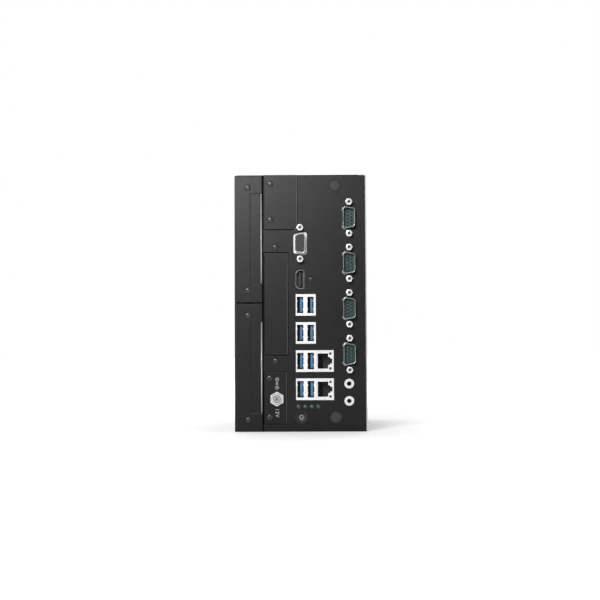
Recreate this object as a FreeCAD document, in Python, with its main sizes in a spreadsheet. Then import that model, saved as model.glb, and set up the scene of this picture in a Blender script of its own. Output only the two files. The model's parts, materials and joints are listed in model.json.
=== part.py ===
import FreeCAD, Part
import math
import os
import Sketcher
from FreeCAD import Vector

# A fanless industrial computer that stands on one end, in millimetres.
# X runs across the front, from the drive covers (-X) to the heatsink (+X). Y runs from the front
# panel (-Y) to the rear panel (+Y). Z is up, and z = 0 is the end wall that it stands on.
# Every size below becomes a cell of the document's spreadsheet, and each sub-part is bound to it.

DIMENSIONS = [
    ("case_wide", 103.6, "housing across the front, without the heatsink's overhang"),
    ("case_deep", 190.0, "front panel's face to rear panel's face"),
    ("case_tall", 203.6, "end wall to end wall"),
    ("sheet", 1.2, "steel sheet of the housing and covers"),
    ("bend", 1.2, "inside radius of the housing's folds"),
    ("reveal", 0.8, "end wall's edge that shows above the front panel and drive covers"),
    ("clearance", 0.1, "gap round a fitted piece"),
    ("plate_gap", 0.5, "gap round a plate that is let into the front panel"),
    ("flange_wide", 9.0, "folded flanges that the rear panel and heatsink are screwed to"),
    # heatsink
    ("sink_proud", 1.2, "fin tips beyond the front panel's edge"),
    ("sink_base", 4.0, "base plate of the heatsink"),
    ("shallow_deep", 42.0, "depth of the low-finned zone over the serial ports"),
    ("shallow_drop", 5.2, "underside of the low-finned zone below the panel's edge"),
    ("main_drop", 19.6, "underside of the high-finned zone below the panel's edge"),
    ("fin_pitch", 7.4, "fin spacing"),
    ("fin_root", 2.6, "fin thickness at its root"),
    ("fin_tip", 1.6, "fin thickness at its tip"),
    # drive bays
    ("bay_high", 21.7, "width of the drive covers' strip"),
    ("strip_gap", 1.2, "gap between the drive covers and the front panel"),
    ("cover_gap", 1.2, "gap between the two drive covers"),
    ("recess_long", 72.7, "pressed recess of a drive cover"),
    ("recess_wide", 9.4, "pressed recess of a drive cover"),
    ("recess_deep", 0.8, "pressed recess of a drive cover"),
    ("lip_deep", 8.0, "folded lip of a drive cover"),
    ("relief", 1.3, "notch at each end of the folded lip"),
    ("cover_screw_in", 10.6, "drive cover screws from the housing's edge"),
    ("cover_screw_span", 82.3, "drive cover screws apart"),
    ("tray_long", 112.0, "drive tray behind its cover"),
    ("tray_wide", 73.4, "drive tray across"),
    ("drive_wide", 69.8, "drive across"),
    ("drive_long", 100.2, "drive length"),
    ("drive_thick", 7.0, "drive thickness"),
    # plates let into the front panel
    ("option_right", 49.8, "option cover's far edge from the housing's edge"),
    ("option_tall", 43.6, "option cover"),
    ("option_proud", 0.3, "option cover's face before the front panel"),
    ("option_clip", 2.6, "option cover's cut corner beside the video jackscrew"),
    ("option_screw_in", 28.6, "option cover screws from the housing's edge"),
    ("option_screw_low", 7.8, "lower option cover screw above the cover's lower edge"),
    ("option_screw_high", 36.4, "upper option cover screw above the cover's lower edge"),
    ("slot_right", 42.3, "expansion slot cover's far edge from the housing's edge"),
    ("slot_tall", 81.4, "expansion slot cover"),
    ("slot_mid", 100.8, "expansion slot cover's middle above the base"),
    ("slot_proud", 0.3, "expansion slot cover's face before the front panel"),
    ("slot_wall", 1.0, "sheet of the expansion slot cover"),
    ("slot_tongue", 9.0, "tongues at the ends of the expansion slot cover"),
    ("slot_screw_in", 32.4, "slot cover screws from the housing's edge"),
    ("slot_screw_span", 90.4, "slot cover screws apart"),
    ("inlet_right", 41.0, "power inlet plate's far edge from the housing's edge"),
    ("inlet_low", 6.1, "power inlet plate above the base"),
    ("inlet_tall", 40.8, "power inlet plate"),
    ("inlet_thick", 0.8, "power inlet plate's sheet, let in behind the front panel's face"),
    ("inlet_screw_in", 27.6, "inlet plate screws from the housing's edge"),
    ("inlet_screw_low", 5.1, "lower inlet plate screw above the plate's lower edge"),
    ("inlet_screw_high", 36.1, "upper inlet plate screw above the plate's lower edge"),
    ("jack_in", 33.3, "power jack from the housing's edge"),
    ("jack_up", 25.8, "power jack above the base"),
    ("jack_barrel", 4.0, "power jack's threaded barrel, radius"),
    ("jack_play", 0.2, "gap round the power jack's barrel in its holes"),
    ("jack_bore", 2.8, "power jack's socket, radius"),
    ("jack_pin", 1.25, "power jack's centre pin, radius"),
    ("nut_across", 10.0, "power jack's nut across its flats"),
    ("nut_high", 2.4, "power jack's nut"),
    # screws
    ("screw_head", 2.5, "radius of the cover screws' heads"),
    ("screw_head_high", 1.3, "height of the cover screws' heads"),
    ("screw_shank", 1.35, "radius of the cover screws' shanks"),
    ("screw_play", 0.15, "gap round the cover screws' shanks in their holes"),
    ("screw_long", 6.0, "length of the cover screws' shanks"),
    # mainboard and its ports
    ("board_up", 48.4, "mainboard's top face from the housing's edge"),
    ("board_thick", 1.6, "circuit boards"),
    ("board_size", 170.0, "mainboard's side"),
    ("board_low", 18.4, "mainboard's lower edge above the base"),
    ("board_back", 3.2, "mainboard's front edge behind the front panel's face"),
    ("port_wide", 17.0, "USB and network stacks along the panel"),
    ("port_deep", 17.6, "USB and network stacks into the case"),
    ("port_proud", 0.8, "USB and network stacks before the panel's face"),
    ("usb_high", 15.8, "USB stack off the board"),
    ("lan_high", 29.8, "USB and network stack off the board"),
    ("stack_pitch", 22.2, "port stacks apart"),
    ("stack_first", 33.4, "lowest port stack's middle above the base"),
    ("usb_first", 0.9, "first USB opening off the board"),
    ("usb_pitch", 8.25, "USB openings of one stack apart"),
    ("usb_open_high", 5.1, "USB opening"),
    ("usb_open_wide", 13.0, "USB opening"),
    ("usb_open_deep", 12.0, "USB opening"),
    ("tongue_up", 2.4, "contact tongue above the opening's edge"),
    ("tongue_thick", 2.0, "contact tongue"),
    ("tongue_wide", 11.0, "contact tongue"),
    ("tongue_deep", 9.2, "contact tongue"),
    ("lan_first", 16.2, "network jack's insert off the board"),
    ("lan_open_high", 8.3, "network jack's opening, without the latch's notch"),
    ("lan_open_wide", 12.0, "network jack's opening"),
    ("lan_open_deep", 12.5, "network jack's opening"),
    ("lan_wall", 0.9, "network jack's insert below its opening"),
    ("latch_wide", 6.2, "latch notch"),
    ("latch_step", 1.6, "each step of the latch notch"),
    ("lamp_side", 2.6, "network jack's square lamps"),
    # D connectors
    ("dsub_flange_tall", 30.8, "connector flange"),
    ("dsub_flange_wide", 12.5, "connector flange"),
    ("dsub_flange", 0.7, "flange sheet"),
    ("dsub_proud", 5.8, "connector shell before the panel"),
    ("dsub_wall", 0.5, "shell wall"),
    ("dsub_corner", 2.5, "rounded corners of a connector's shell"),
    ("dsub_half_span", 12.5, "jackscrews from the connector's middle"),
    ("dsub_body_deep", 11.0, "connector body behind its flange"),
    ("male_tall", 17.9, "shell of a serial port"),
    ("male_wide", 9.5, "shell of a serial port"),
    ("pin_radius", 0.5, "contact pins"),
    ("pin_pitch", 2.77, "contact pins apart"),
    ("row_pitch", 2.84, "rows of contact pins apart"),
    ("com_in", 12.8, "serial ports from the panel's far edge"),
    ("com_mid", 115.0, "middle of the row of serial ports above the base"),
    ("com_pitch", 36.0, "serial ports apart"),
    ("com_seat", 6.3, "serial ports' middle above their board"),
    ("female_tall", 16.5, "shell of the video connector"),
    ("female_wide", 8.3, "shell of the video connector"),
    ("socket_pitch", 2.29, "video connector's contacts apart"),
    ("socket_row", 1.98, "video connector's rows of contacts apart"),
    ("vga_up", 3.6, "video connector's middle off the board"),
    ("vga_mid", 148.8, "video connector's middle above the base"),
    ("vga_window_tall", 19.2, "panel opening round the video connector"),
    ("vga_window_wide", 10.9, "panel opening round the video connector"),
    ("hex_across", 4.8, "jackscrews across their flats"),
    ("hex_long", 5.0, "jackscrews' heads"),
    ("hex_tap", 1.42, "jackscrews' threaded holes, radius"),
    ("hex_tap_deep", 4.4, "jackscrews' threaded holes, depth"),
    ("hex_shank", 1.42, "jackscrews' shanks, radius"),
    # digital video port
    ("video_mid", 120.3, "digital video port's middle above the base"),
    ("video_tall", 14.9, "digital video port's shell"),
    ("video_high", 6.8, "digital video port's shell"),
    ("video_wall", 0.45, "digital video port's shell"),
    ("video_deep", 11.4, "digital video port's shell into the case"),
    ("lock_up", 12.2, "lock screw beside the digital video port, off the board"),
    # audio, lamps, button, plugs
    ("audio_in", 13.3, "audio jacks from the panel's far edge"),
    ("audio_mid", 30.9, "middle between the audio jacks above the base"),
    ("audio_pitch", 13.6, "audio jacks apart"),
    ("audio_bush", 3.85, "audio jacks' threaded bush, radius"),
    ("audio_bore", 1.8, "audio jacks' bore, radius"),
    ("audio_proud", 1.4, "audio jacks before the panel"),
    ("audio_deep", 13.0, "audio jacks behind the panel's face"),
    ("led_first", 50.3, "first status lamp from the housing's edge"),
    ("led_pitch", 5.17, "status lamps apart"),
    ("led_up", 19.8, "status lamps above the base"),
    ("led_radius", 1.45, "status lamps"),
    ("button_in", 52.7, "power button from the housing's edge"),
    ("button_up", 11.4, "power button above the base"),
    ("button_radius", 4.3, "power button's cap"),
    ("button_proud", 1.3, "power button before the panel"),
    ("button_travel", 1.0, "power button's travel"),
    ("button_play", 0.15, "running gap round the power button"),
    ("bezel_radius", 5.4, "power button's bezel"),
    ("plug_in", 79.8, "antenna hole plugs from the housing's edge"),
    ("plug_top", 8.8, "upper antenna hole plug below the top"),
    ("plug_low", 11.0, "lower antenna hole plug above the base"),
    ("plug_radius", 4.75, "antenna hole plugs' heads"),
    ("plug_neck", 3.2, "antenna holes"),
    # inside
    ("divider_gap", 0.2, "drive covers' strip to the shelf over the drive bays"),
    ("port_board_deep", 36.6, "serial port board"),
    ("port_board_low", 14.0, "serial port board's lower edge above the base"),
    ("port_board_tall", 176.0, "serial port board"),
    ("post_radius", 2.6, "board posts"),
    ("post_inset", 6.4, "board posts from the mainboard's edges"),
    ("chip_side", 37.5, "processor"),
    ("chip_back", 92.0, "processor's middle behind the mainboard's front edge"),
    ("chip_thick", 4.2, "processor off the board"),
    ("block_side", 46.0, "heat block on the processor"),
    ("mount_span", 100.0, "mounting holes of the drive side apart"),
    ("mount_tap", 1.65, "mounting holes' radius"),
    ("mount_boss", 7.0, "mounting nuts across their flats"),
    ("mount_nut", 1.6, "mounting nuts' height inside the sheet"),
]

D_ANGLE = math.tan(math.radians(10.0))
HEX_CORNER = 1.0 / math.cos(math.radians(30.0))

doc = FreeCAD.newDocument("industrial_computer")
sheet_cells = doc.addObject("Spreadsheet::Sheet", "dims")


class Size:
    """A number that also carries the spreadsheet expression it comes from."""

    def __init__(self, value, text):
        self.value = float(value)
        self.text = text

    def __add__(self, other):
        other = sized(other)
        return Size(self.value + other.value, f"({self.text} + {other.text})")

    def __radd__(self, other):
        return sized(other) + self

    def __sub__(self, other):
        other = sized(other)
        return Size(self.value - other.value, f"({self.text} - {other.text})")

    def __rsub__(self, other):
        return sized(other) - self

    def __mul__(self, other):
        other = sized(other)
        return Size(self.value * other.value, f"({self.text} * {other.text})")

    def __rmul__(self, other):
        return sized(other) * self

    def __truediv__(self, other):
        other = sized(other)
        return Size(self.value / other.value, f"({self.text} / {other.text})")

    def __neg__(self):
        return Size(-self.value, f"(0 - {self.text})")


def sized(number):
    """A plain number as a Size; a Size as it is."""
    if isinstance(number, Size):
        return number
    return Size(number, f"({float(number):.9f})")


class Named:
    """The spreadsheet's cells as Size attributes."""


dim = Named()
for row, (alias, amount, note) in enumerate(DIMENSIONS, 1):
    sheet_cells.set(f"A{row}", alias)
    sheet_cells.set(f"B{row}", str(amount))
    sheet_cells.set(f"C{row}", note)
    sheet_cells.setAlias(f"B{row}", alias)
    setattr(dim, alias, Size(amount, f"dims.{alias}"))
dim.jack_hole = dim.jack_barrel + dim.jack_play
dim.screw_hole = dim.screw_shank + dim.screw_play
doc.recompute()


def bind(item, prop, size):
    """Binds a property to the spreadsheet expression behind a size."""
    item.setExpression(prop, sized(size).text)


# ---------------------------------------------------------------- outlines

def rect(left, bottom, right, top):
    return [(left, bottom), (right, bottom), (right, top), (left, top)]


def centred(x, z, wide, tall):
    return rect(x - wide / 2, z - tall / 2, x + wide / 2, z + tall / 2)


def disc(x, z, radius):
    return (x, z, radius)


def polygon(x, z, radius, sides, turned=0.5):
    """A regular outline with its corners on a circle; turned is a part of the angle between two."""
    turns = [2 * math.pi / sides * (step + turned) for step in range(sides)]
    return [(x + radius * math.cos(turn), z + radius * math.sin(turn)) for turn in turns]


def polygon_round(x, z, radius, sides):
    """A regular outline whose flats touch a circle, so that a round piece passes through it."""
    return polygon(x, z, radius * (1 / math.cos(math.pi / sides)), sides)


def hexagon(x, z, across, turned=0.0):
    """A hexagon by its size across flats. Two flats lie across z, unless it is turned."""
    return polygon(x, z, across * (HEX_CORNER / 2), 6, turned)


def d_outline(wide, tall, wide_side):
    """A D connector's outline about the origin; wide_side is -1 or 1, the side of x that is long."""
    short = tall / 2 - wide * D_ANGLE
    long_x = wide / 2 * wide_side
    short_x = -long_x
    return [(long_x, -tall / 2), (long_x, tall / 2), (short_x, short), (short_x, -short)]


def moved(points, x, z):
    return [(x + px, z + pz) for px, pz in points]


def trace(shape, edges, rules):
    """Lists a closed outline's or a circle's edges, and the rules that tie them to the sheet."""
    first = len(edges)
    if isinstance(shape, tuple):
        x, z, radius = (sized(item) for item in shape)
        edges.append(Part.Circle(Vector(x.value, z.value, 0), Vector(0, 0, 1), radius.value))
        rules += tied(first, 3, x, z)
        rules.append((Sketcher.Constraint("Radius", first, radius.value), radius))
        return
    points = [(sized(x), sized(z)) for x, z in shape]
    spots = [Vector(x.value, z.value, 0) for x, z in points]
    for step, (start, end) in enumerate(zip(spots, spots[1:] + spots[:1])):
        edges.append(Part.LineSegment(start, end))
        before = first + (step - 1) % len(spots)
        rules.append((Sketcher.Constraint("Coincident", before, 2, first + step, 1), None))
        rules += tied(first + step, 1, *points[step])


def tied(edge, spot, x, z):
    """Holds a point of an edge at its two distances from the sketch's origin."""
    return [(Sketcher.Constraint("DistanceX", -1, 1, edge, spot, x.value), x),
            (Sketcher.Constraint("DistanceY", -1, 1, edge, spot, z.value), z)]


def grouped(shapes, most=4):
    """The shapes in groups small enough for a quick sketch."""
    return [shapes[start:start + most] for start in range(0, len(shapes), most)]


# ---------------------------------------------------------------- sub-parts

PLANES = {
    "front": ("XZ_Plane", -1),
    "level": ("XY_Plane", 1),
    "side": ("YZ_Plane", 1),
}
subparts = []


class Piece:
    """One sub-part: a PartDesign body whose features run along +Y, +Z or +X from their sketch."""

    def __init__(self, name, x=0, y=0, z=0):
        self.body = doc.addObject("PartDesign::Body", name)
        self.body.Label = name
        self.origin = {item.Role: item for item in self.body.Origin.OriginFeatures}
        for axis, size in (("x", x), ("y", y), ("z", z)):
            bind(self.body, f"Placement.Base.{axis}", size)
        subparts.append(self.body)

    def sketch(self, plane, offset, shapes):
        role, sign = PLANES[plane]
        sketch = self.body.newObject("Sketcher::SketchObject", f"{self.body.Name}_sketch")
        sketch.AttachmentSupport = [(self.origin[role], "")]
        sketch.MapMode = "FlatFace"
        bind(sketch, "AttachmentOffset.Base.z", sized(offset) * sign)
        edges, rules = [], []
        for shape in shapes:
            trace(shape, edges, rules)
        sketch.addGeometry(edges, False)
        sketch.addConstraint([constraint for constraint, size in rules])
        for index, (constraint, size) in enumerate(rules):
            if size is not None:
                bind(sketch, f"Constraints[{index}]", size)
        return sketch

    def add(self, plane, start, end, *shapes):
        """Pads the shapes from start to end along the plane's axis, a few to a sketch."""
        for group in grouped(shapes):
            pad = self.body.newObject("PartDesign::Pad", f"{self.body.Name}_pad")
            pad.Profile = self.sketch(plane, start, group)
            pad.Reversed = plane == "front"
            bind(pad, "Length", sized(end) - start)
            self.body.Tip = pad
        doc.recompute()
        return pad

    def cut(self, plane, start, end, *shapes):
        """Pockets the shapes from start to end along the plane's axis, a few to a sketch."""
        for group in grouped(shapes):
            before = self.body.Shape.Volume
            pocket = self.body.newObject("PartDesign::Pocket", f"{self.body.Name}_pocket")
            pocket.Profile = self.sketch(plane, start, group)
            pocket.Reversed = plane != "front"
            bind(pocket, "Length", sized(end) - start)
            self.body.Tip = pocket
            doc.recompute()
            if not self.body.Shape.Volume < before:
                raise RuntimeError(f"{self.body.Label}: {pocket.Name} cuts nothing")
        return pocket

    def turn(self, profile, x=0, z=0):
        """Revolves a profile of (radius, y) points about the Y-wise axis through x, z."""
        sketch = self.sketch("level", z, [[(x + radius, y) for radius, y in profile]])
        middle = sized(x)
        axis = Part.LineSegment(Vector(middle.value, -1, 0), Vector(middle.value, 1, 0))
        line = sketch.addGeometry(axis, True)
        sketch.addConstraint(Sketcher.Constraint("Vertical", line))
        across_rule = Sketcher.Constraint("DistanceX", -1, 1, line, 1, middle.value)
        bind(sketch, f"Constraints[{sketch.addConstraint(across_rule)}]", middle)
        turned = self.body.newObject("PartDesign::Revolution", f"{self.body.Name}_turned")
        turned.Profile = sketch
        turned.ReferenceAxis = (sketch, ["Axis0"])
        turned.Angle = 360
        self.body.Tip = turned
        doc.recompute()
        return turned

    def repeat(self, feature, axis, pitch, count, second_pitch=None, second_count=1):
        """Repeats a feature along the body's X, Y or Z axis, and the row again at a second pitch."""
        pattern = self.body.newObject("PartDesign::LinearPattern", f"{self.body.Name}_row")
        pattern.Originals = [feature]
        pattern.Direction = (self.origin[f"{axis}_Axis"], [""])
        bind(pattern, "Length", pitch * (count - 1))
        pattern.Occurrences = count
        if second_pitch:
            pattern.Direction2 = (self.origin[f"{axis}_Axis"], [""])
            bind(pattern, "Length2", second_pitch * (second_count - 1))
            pattern.Occurrences2 = second_count
        self.body.Tip = pattern
        doc.recompute()
        return pattern

    def dress(self, kind, size, chosen):
        """Fillets or chamfers the chosen edges of the shape so far."""
        base = self.body.Tip
        names = [f"Edge{index}" for index, edge in enumerate(base.Shape.Edges, 1) if chosen(edge)]
        if not names:
            raise RuntimeError(f"{self.body.Label}: no edge to {kind.lower()}")
        dressed = self.body.newObject(f"PartDesign::{kind}", f"{self.body.Name}_{kind.lower()}")
        dressed.Base = (base, names)
        bind(dressed, "Radius" if kind == "Fillet" else "Size", size)
        self.body.Tip = dressed
        doc.recompute()
        return dressed


def is_straight(edge, axis):
    """Whether an edge is a straight line along the given axis, 0 to 2 for X to Z."""
    if not isinstance(edge.Curve, (Part.Line, Part.LineSegment)):
        return False
    start, end = edge.Vertexes[0].Point, edge.Vertexes[-1].Point
    run = end - start
    return abs(abs(run[axis]) - run.Length) < 1e-6


def is_at(edge, axis, size):
    """Whether an edge lies in the plane at the given place along an axis."""
    box = edge.BoundBox
    low = (box.XMin, box.YMin, box.ZMin)[axis]
    high = (box.XMax, box.YMax, box.ZMax)[axis]
    place = sized(size).value
    return abs(low - place) < 1e-4 and abs(high - place) < 1e-4


# ---------------------------------------------------------------- shared places

front = -dim.case_deep / 2
back = dim.case_deep / 2
left = -dim.case_wide / 2
right = dim.case_wide / 2
top = dim.case_tall
wall_front = front + dim.sheet
wall_back = wall_front + dim.sheet
face_top = top - dim.reveal


def across(distance):
    """The place on X at a distance from the drive covers' edge of the housing."""
    return left + distance


panel_left = across(dim.bay_high + dim.strip_gap)
board_top = across(dim.board_up)
board_under = board_top - dim.board_thick
board_front = front + dim.board_back
com_x = right - dim.com_in
port_board_top = com_x - dim.com_seat
port_board_under = port_board_top - dim.board_thick
port_board_back = board_front + dim.port_board_deep
com_places = [dim.com_mid + dim.com_pitch * step for step in (1.5, 0.5, -0.5, -1.5)]
vga_x = board_top + dim.vga_up
jackscrew_places = [(com_x, z + dim.dsub_half_span * side) for z in com_places for side in (-1, 1)]
jackscrew_places += [(vga_x, dim.vga_mid + dim.dsub_half_span * side) for side in (-1, 1)]
stack_places = [dim.stack_first + dim.stack_pitch * step for step in range(4)]
video_x = board_top + dim.video_high / 2
lock_x = board_top + dim.lock_up
audio_x = right - dim.audio_in
audio_places = [dim.audio_mid + dim.audio_pitch / 2, dim.audio_mid - dim.audio_pitch / 2]
led_places = [across(dim.led_first + dim.led_pitch * step) for step in range(4)]
button_x = across(dim.button_in)
plug_x = across(dim.plug_in)
plug_places = [top - dim.plug_top, dim.plug_low]
sink_top = right + dim.sink_proud
shallow_under = right - dim.shallow_drop
main_under = right - dim.main_drop
sink_step = front + dim.shallow_deep
shelf_under = across(dim.bay_high + dim.divider_gap)
shelf_top = shelf_under + dim.sheet

cover_split = top / 2
cover_spans = {
    "lower": (sized(0), cover_split - dim.cover_gap / 2),
    "upper": (cover_split + dim.cover_gap / 2, face_top),
}
cover_mids = {name: (low + high) / 2 for name, (low, high) in cover_spans.items()}
cover_screws = [(across(dim.cover_screw_in), mid + dim.cover_screw_span / 2 * side)
                for mid in cover_mids.values() for side in (-1, 1)]

option_low = top - dim.option_tall
option_x = across(dim.option_right)
option_screws = [(across(dim.option_screw_in), option_low + up)
                 for up in (dim.option_screw_low, dim.option_screw_high)]
slot_low = dim.slot_mid - dim.slot_tall / 2
slot_high = dim.slot_mid + dim.slot_tall / 2
slot_left = panel_left + dim.plate_gap
slot_x = across(dim.slot_right)
slot_screws = [(across(dim.slot_screw_in), dim.slot_mid + dim.slot_screw_span / 2 * side)
               for side in (-1, 1)]
inlet_high = dim.inlet_low + dim.inlet_tall
inlet_x = across(dim.inlet_right)
inlet_screws = [(across(dim.inlet_screw_in), dim.inlet_low + up)
                for up in (dim.inlet_screw_low, dim.inlet_screw_high)]
jack_x = across(dim.jack_in)
rear_screws = [(x, z) for x in (left + dim.flange_wide * 0.6, main_under - dim.flange_wide * 0.7)
               for z in (dim.flange_wide * 0.7, top / 2, top - dim.flange_wide * 0.7)]
mount_places = [(dim.mount_span / 2 * a, top / 2 + dim.mount_span / 2 * b)
                for a in (-1, 1) for b in (-1, 1)]


def holes(places, radius):
    return [disc(x, z, radius) for x, z in places]


def rods(places, radius):
    """Thin, hidden or often repeated round sections, with eight flats."""
    return [polygon(x, z, radius, 8) for x, z in places]


def heads(places, radius):
    """Small round heads, with twelve flats."""
    return [polygon(x, z, radius, 12) for x, z in places]


# ---------------------------------------------------------------- housing

plug_holes = [polygon_round(plug_x, z, dim.plug_neck, 8) for z in plug_places]
bezel_hole = polygon_round(button_x, dim.button_up, dim.bezel_radius - 0.4, 12)


def make_chassis_shell():
    """The folded housing: drive side, two end walls, front wall with windows and rear flanges."""
    shell = Piece("chassis_shell")
    inner_back = back - dim.sheet
    inner_top = top - dim.sheet
    wall_x = left + dim.sheet
    channel = [(left, 0), (shallow_under, 0), (shallow_under, dim.sheet), (wall_x, dim.sheet),
               (wall_x, inner_top), (shallow_under, inner_top), (shallow_under, top), (left, top)]
    shell.add("front", wall_front, inner_back, channel)
    shell.dress("Fillet", dim.bend, lambda edge: is_straight(edge, 1) and is_at(edge, 0, wall_x))
    shell.dress("Fillet", dim.bend + dim.sheet,
                lambda edge: is_straight(edge, 1) and is_at(edge, 0, left))
    lower_walls = rect(main_under, -1, right, top + 1)
    shell.cut("front", sink_step, back, lower_walls)
    # front wall, then its windows
    inner = rect(left + dim.sheet / 2, dim.sheet / 2, shallow_under, top - dim.sheet / 2)
    shell.add("front", wall_front, wall_back, inner)
    window_left = board_top - 4.0
    window_right = shallow_under - 0.4
    window = [(window_left, dim.led_up - 3.0), (window_right, dim.led_up - 3.0),
              (window_right, com_places[0] + 18.0), (vga_x + 8.0, com_places[0] + 18.0),
              (vga_x + 8.0, dim.vga_mid + 16.2), (window_left, dim.vga_mid + 16.2)]
    option_window = rect(option_screws[0][0] + 4.0, option_low + 8.0, option_x - 3.0, top - 5.0)
    slot_window = rect(slot_left - dim.clearance, slot_low - dim.clearance,
                       slot_x + dim.clearance, slot_high + dim.clearance)
    shell.cut("front", wall_front, wall_back, window, option_window, slot_window,
              polygon_round(jack_x, dim.jack_up, dim.jack_hole, 8))
    bay_windows = [rect(left + 3.0, mid - dim.tray_wide / 2 - 0.8,
                        across(dim.bay_high), mid + dim.tray_wide / 2 + 0.8)
                   for mid in cover_mids.values()]
    shell.cut("front", wall_front, wall_back, *bay_windows)
    screw_places = cover_screws + option_screws + slot_screws + inlet_screws
    shell.cut("front", wall_front, wall_back, *rods(screw_places, dim.screw_hole))
    shell.cut("front", wall_front, wall_back, *plug_holes, bezel_hole)
    # rear flanges, heatsink flanges
    rear_flange = rect(left + dim.sheet / 2, dim.sheet / 2, main_under, top - dim.sheet / 2)
    rear_opening = rect(left + dim.flange_wide, dim.flange_wide,
                        main_under - dim.flange_wide * 1.3, top - dim.flange_wide)
    shell.add("front", inner_back - dim.sheet, inner_back, rear_flange)
    shell.cut("front", inner_back - dim.sheet, inner_back, rear_opening)
    shell.cut("front", inner_back - dim.sheet, inner_back, *rods(rear_screws, dim.screw_hole))
    flanges = [rect(main_under - dim.sheet, dim.sheet / 2, main_under, dim.flange_wide),
               rect(main_under - dim.sheet, top - dim.flange_wide, main_under, top - dim.sheet / 2)]
    shell.add("front", sink_step + 2.0, inner_back - dim.sheet, *flanges)
    # drive side: threaded mounting nuts
    bosses = [hexagon(y, z, dim.mount_boss) for y, z in mount_places]
    taps = [disc(y, z, dim.mount_tap) for y, z in mount_places]
    shell.add("side", left + dim.sheet / 2, wall_x + dim.mount_nut, *bosses)
    shell.cut("side", left - 1, wall_x + dim.mount_nut + 1, *taps)
    shell.cut("side", main_under - dim.sheet, main_under, *rods(sink_screw_places, dim.screw_hole))
    return shell


sink_screw_places = [(y, z) for y in (sink_step + 16.0, back - 22.0)
                     for z in (dim.flange_wide * 0.55, top - dim.flange_wide * 0.55)]


def make_io_panel():
    """The front panel: a flat sheet with open bays for three plates and a cut-out for every port."""
    panel = Piece("io_panel")
    gap = dim.plate_gap
    clip = dim.option_clip
    outline = [
        (panel_left, 0), (right, 0), (right, face_top), (option_x + gap, face_top),
        (option_x + gap, option_low - gap + clip), (option_x + gap - clip, option_low - gap),
        (panel_left, option_low - gap), (panel_left, slot_high + gap),
        (slot_x + gap, slot_high + gap), (slot_x + gap, slot_low - gap),
        (panel_left, slot_low - gap), (panel_left, inlet_high + gap),
        (inlet_x + gap, inlet_high + gap), (inlet_x + gap, dim.inlet_low - gap),
        (panel_left, dim.inlet_low - gap)]
    panel.add("front", front, wall_front, outline)
    fit = dim.clearance
    for z, high in zip(stack_places, (dim.lan_high, dim.lan_high, dim.usb_high, dim.usb_high)):
        opening = rect(board_top - fit, z - dim.port_wide / 2 - fit,
                       board_top + high + fit, z + dim.port_wide / 2 + fit)
        panel.cut("front", front, wall_front, opening)
    shell_fit = d_outline(dim.male_wide + fit * 3, dim.male_tall + fit * 3, -1)
    panel.cut("front", front, wall_front, *[moved(shell_fit, com_x, z) for z in com_places])
    vga_window = d_outline(dim.vga_window_wide, dim.vga_window_tall, 1)
    video_opening = video_outline(dim.video_tall + fit * 2, dim.video_high + fit * 2)
    panel.cut("front", front, wall_front, moved(vga_window, vga_x, dim.vga_mid),
              moved(video_opening, video_x, dim.video_mid))
    com_side = (dim.male_wide + fit * 3) / 2
    vga_side = dim.vga_window_wide / 2

    def is_corner(edge, x, side):
        return is_straight(edge, 1) and abs(abs(edge.Vertexes[0].X - x.value) - side.value) < 0.01

    panel.dress("Chamfer", dim.dsub_corner * 0.54, lambda edge: is_corner(edge, com_x, com_side))
    panel.dress("Fillet", dim.dsub_corner * 0.8, lambda edge: is_corner(edge, vga_x, vga_side))
    panel.cut("front", front, wall_front, *rods(jackscrew_places, dim.hex_shank + fit))
    panel.cut("front", front, wall_front,
              *[polygon_round(audio_x, z, dim.audio_bush + fit, 16) for z in audio_places])
    panel.cut("front", front, wall_front,
              *heads([(x, dim.led_up) for x in led_places], dim.led_radius + fit))
    panel.cut("front", front, wall_front, *plug_holes, bezel_hole)
    screw_places = slot_screws + [(lock_x, dim.video_mid)]
    panel.cut("front", front, wall_front, *rods(screw_places, dim.screw_hole))
    return panel


def make_rear_panel():
    """The plain rear sheet, screwed to the housing's rear flanges below the heatsink."""
    panel = Piece("rear_panel")
    panel.add("front", back - dim.sheet, back,
              rect(left, 0, main_under - dim.clearance, top))
    panel.dress("Fillet", dim.bend, lambda edge: is_straight(edge, 1) and is_at(edge, 0, left))
    panel.cut("front", back - dim.sheet, back, *rods(rear_screws, dim.screw_hole))
    return panel


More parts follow.
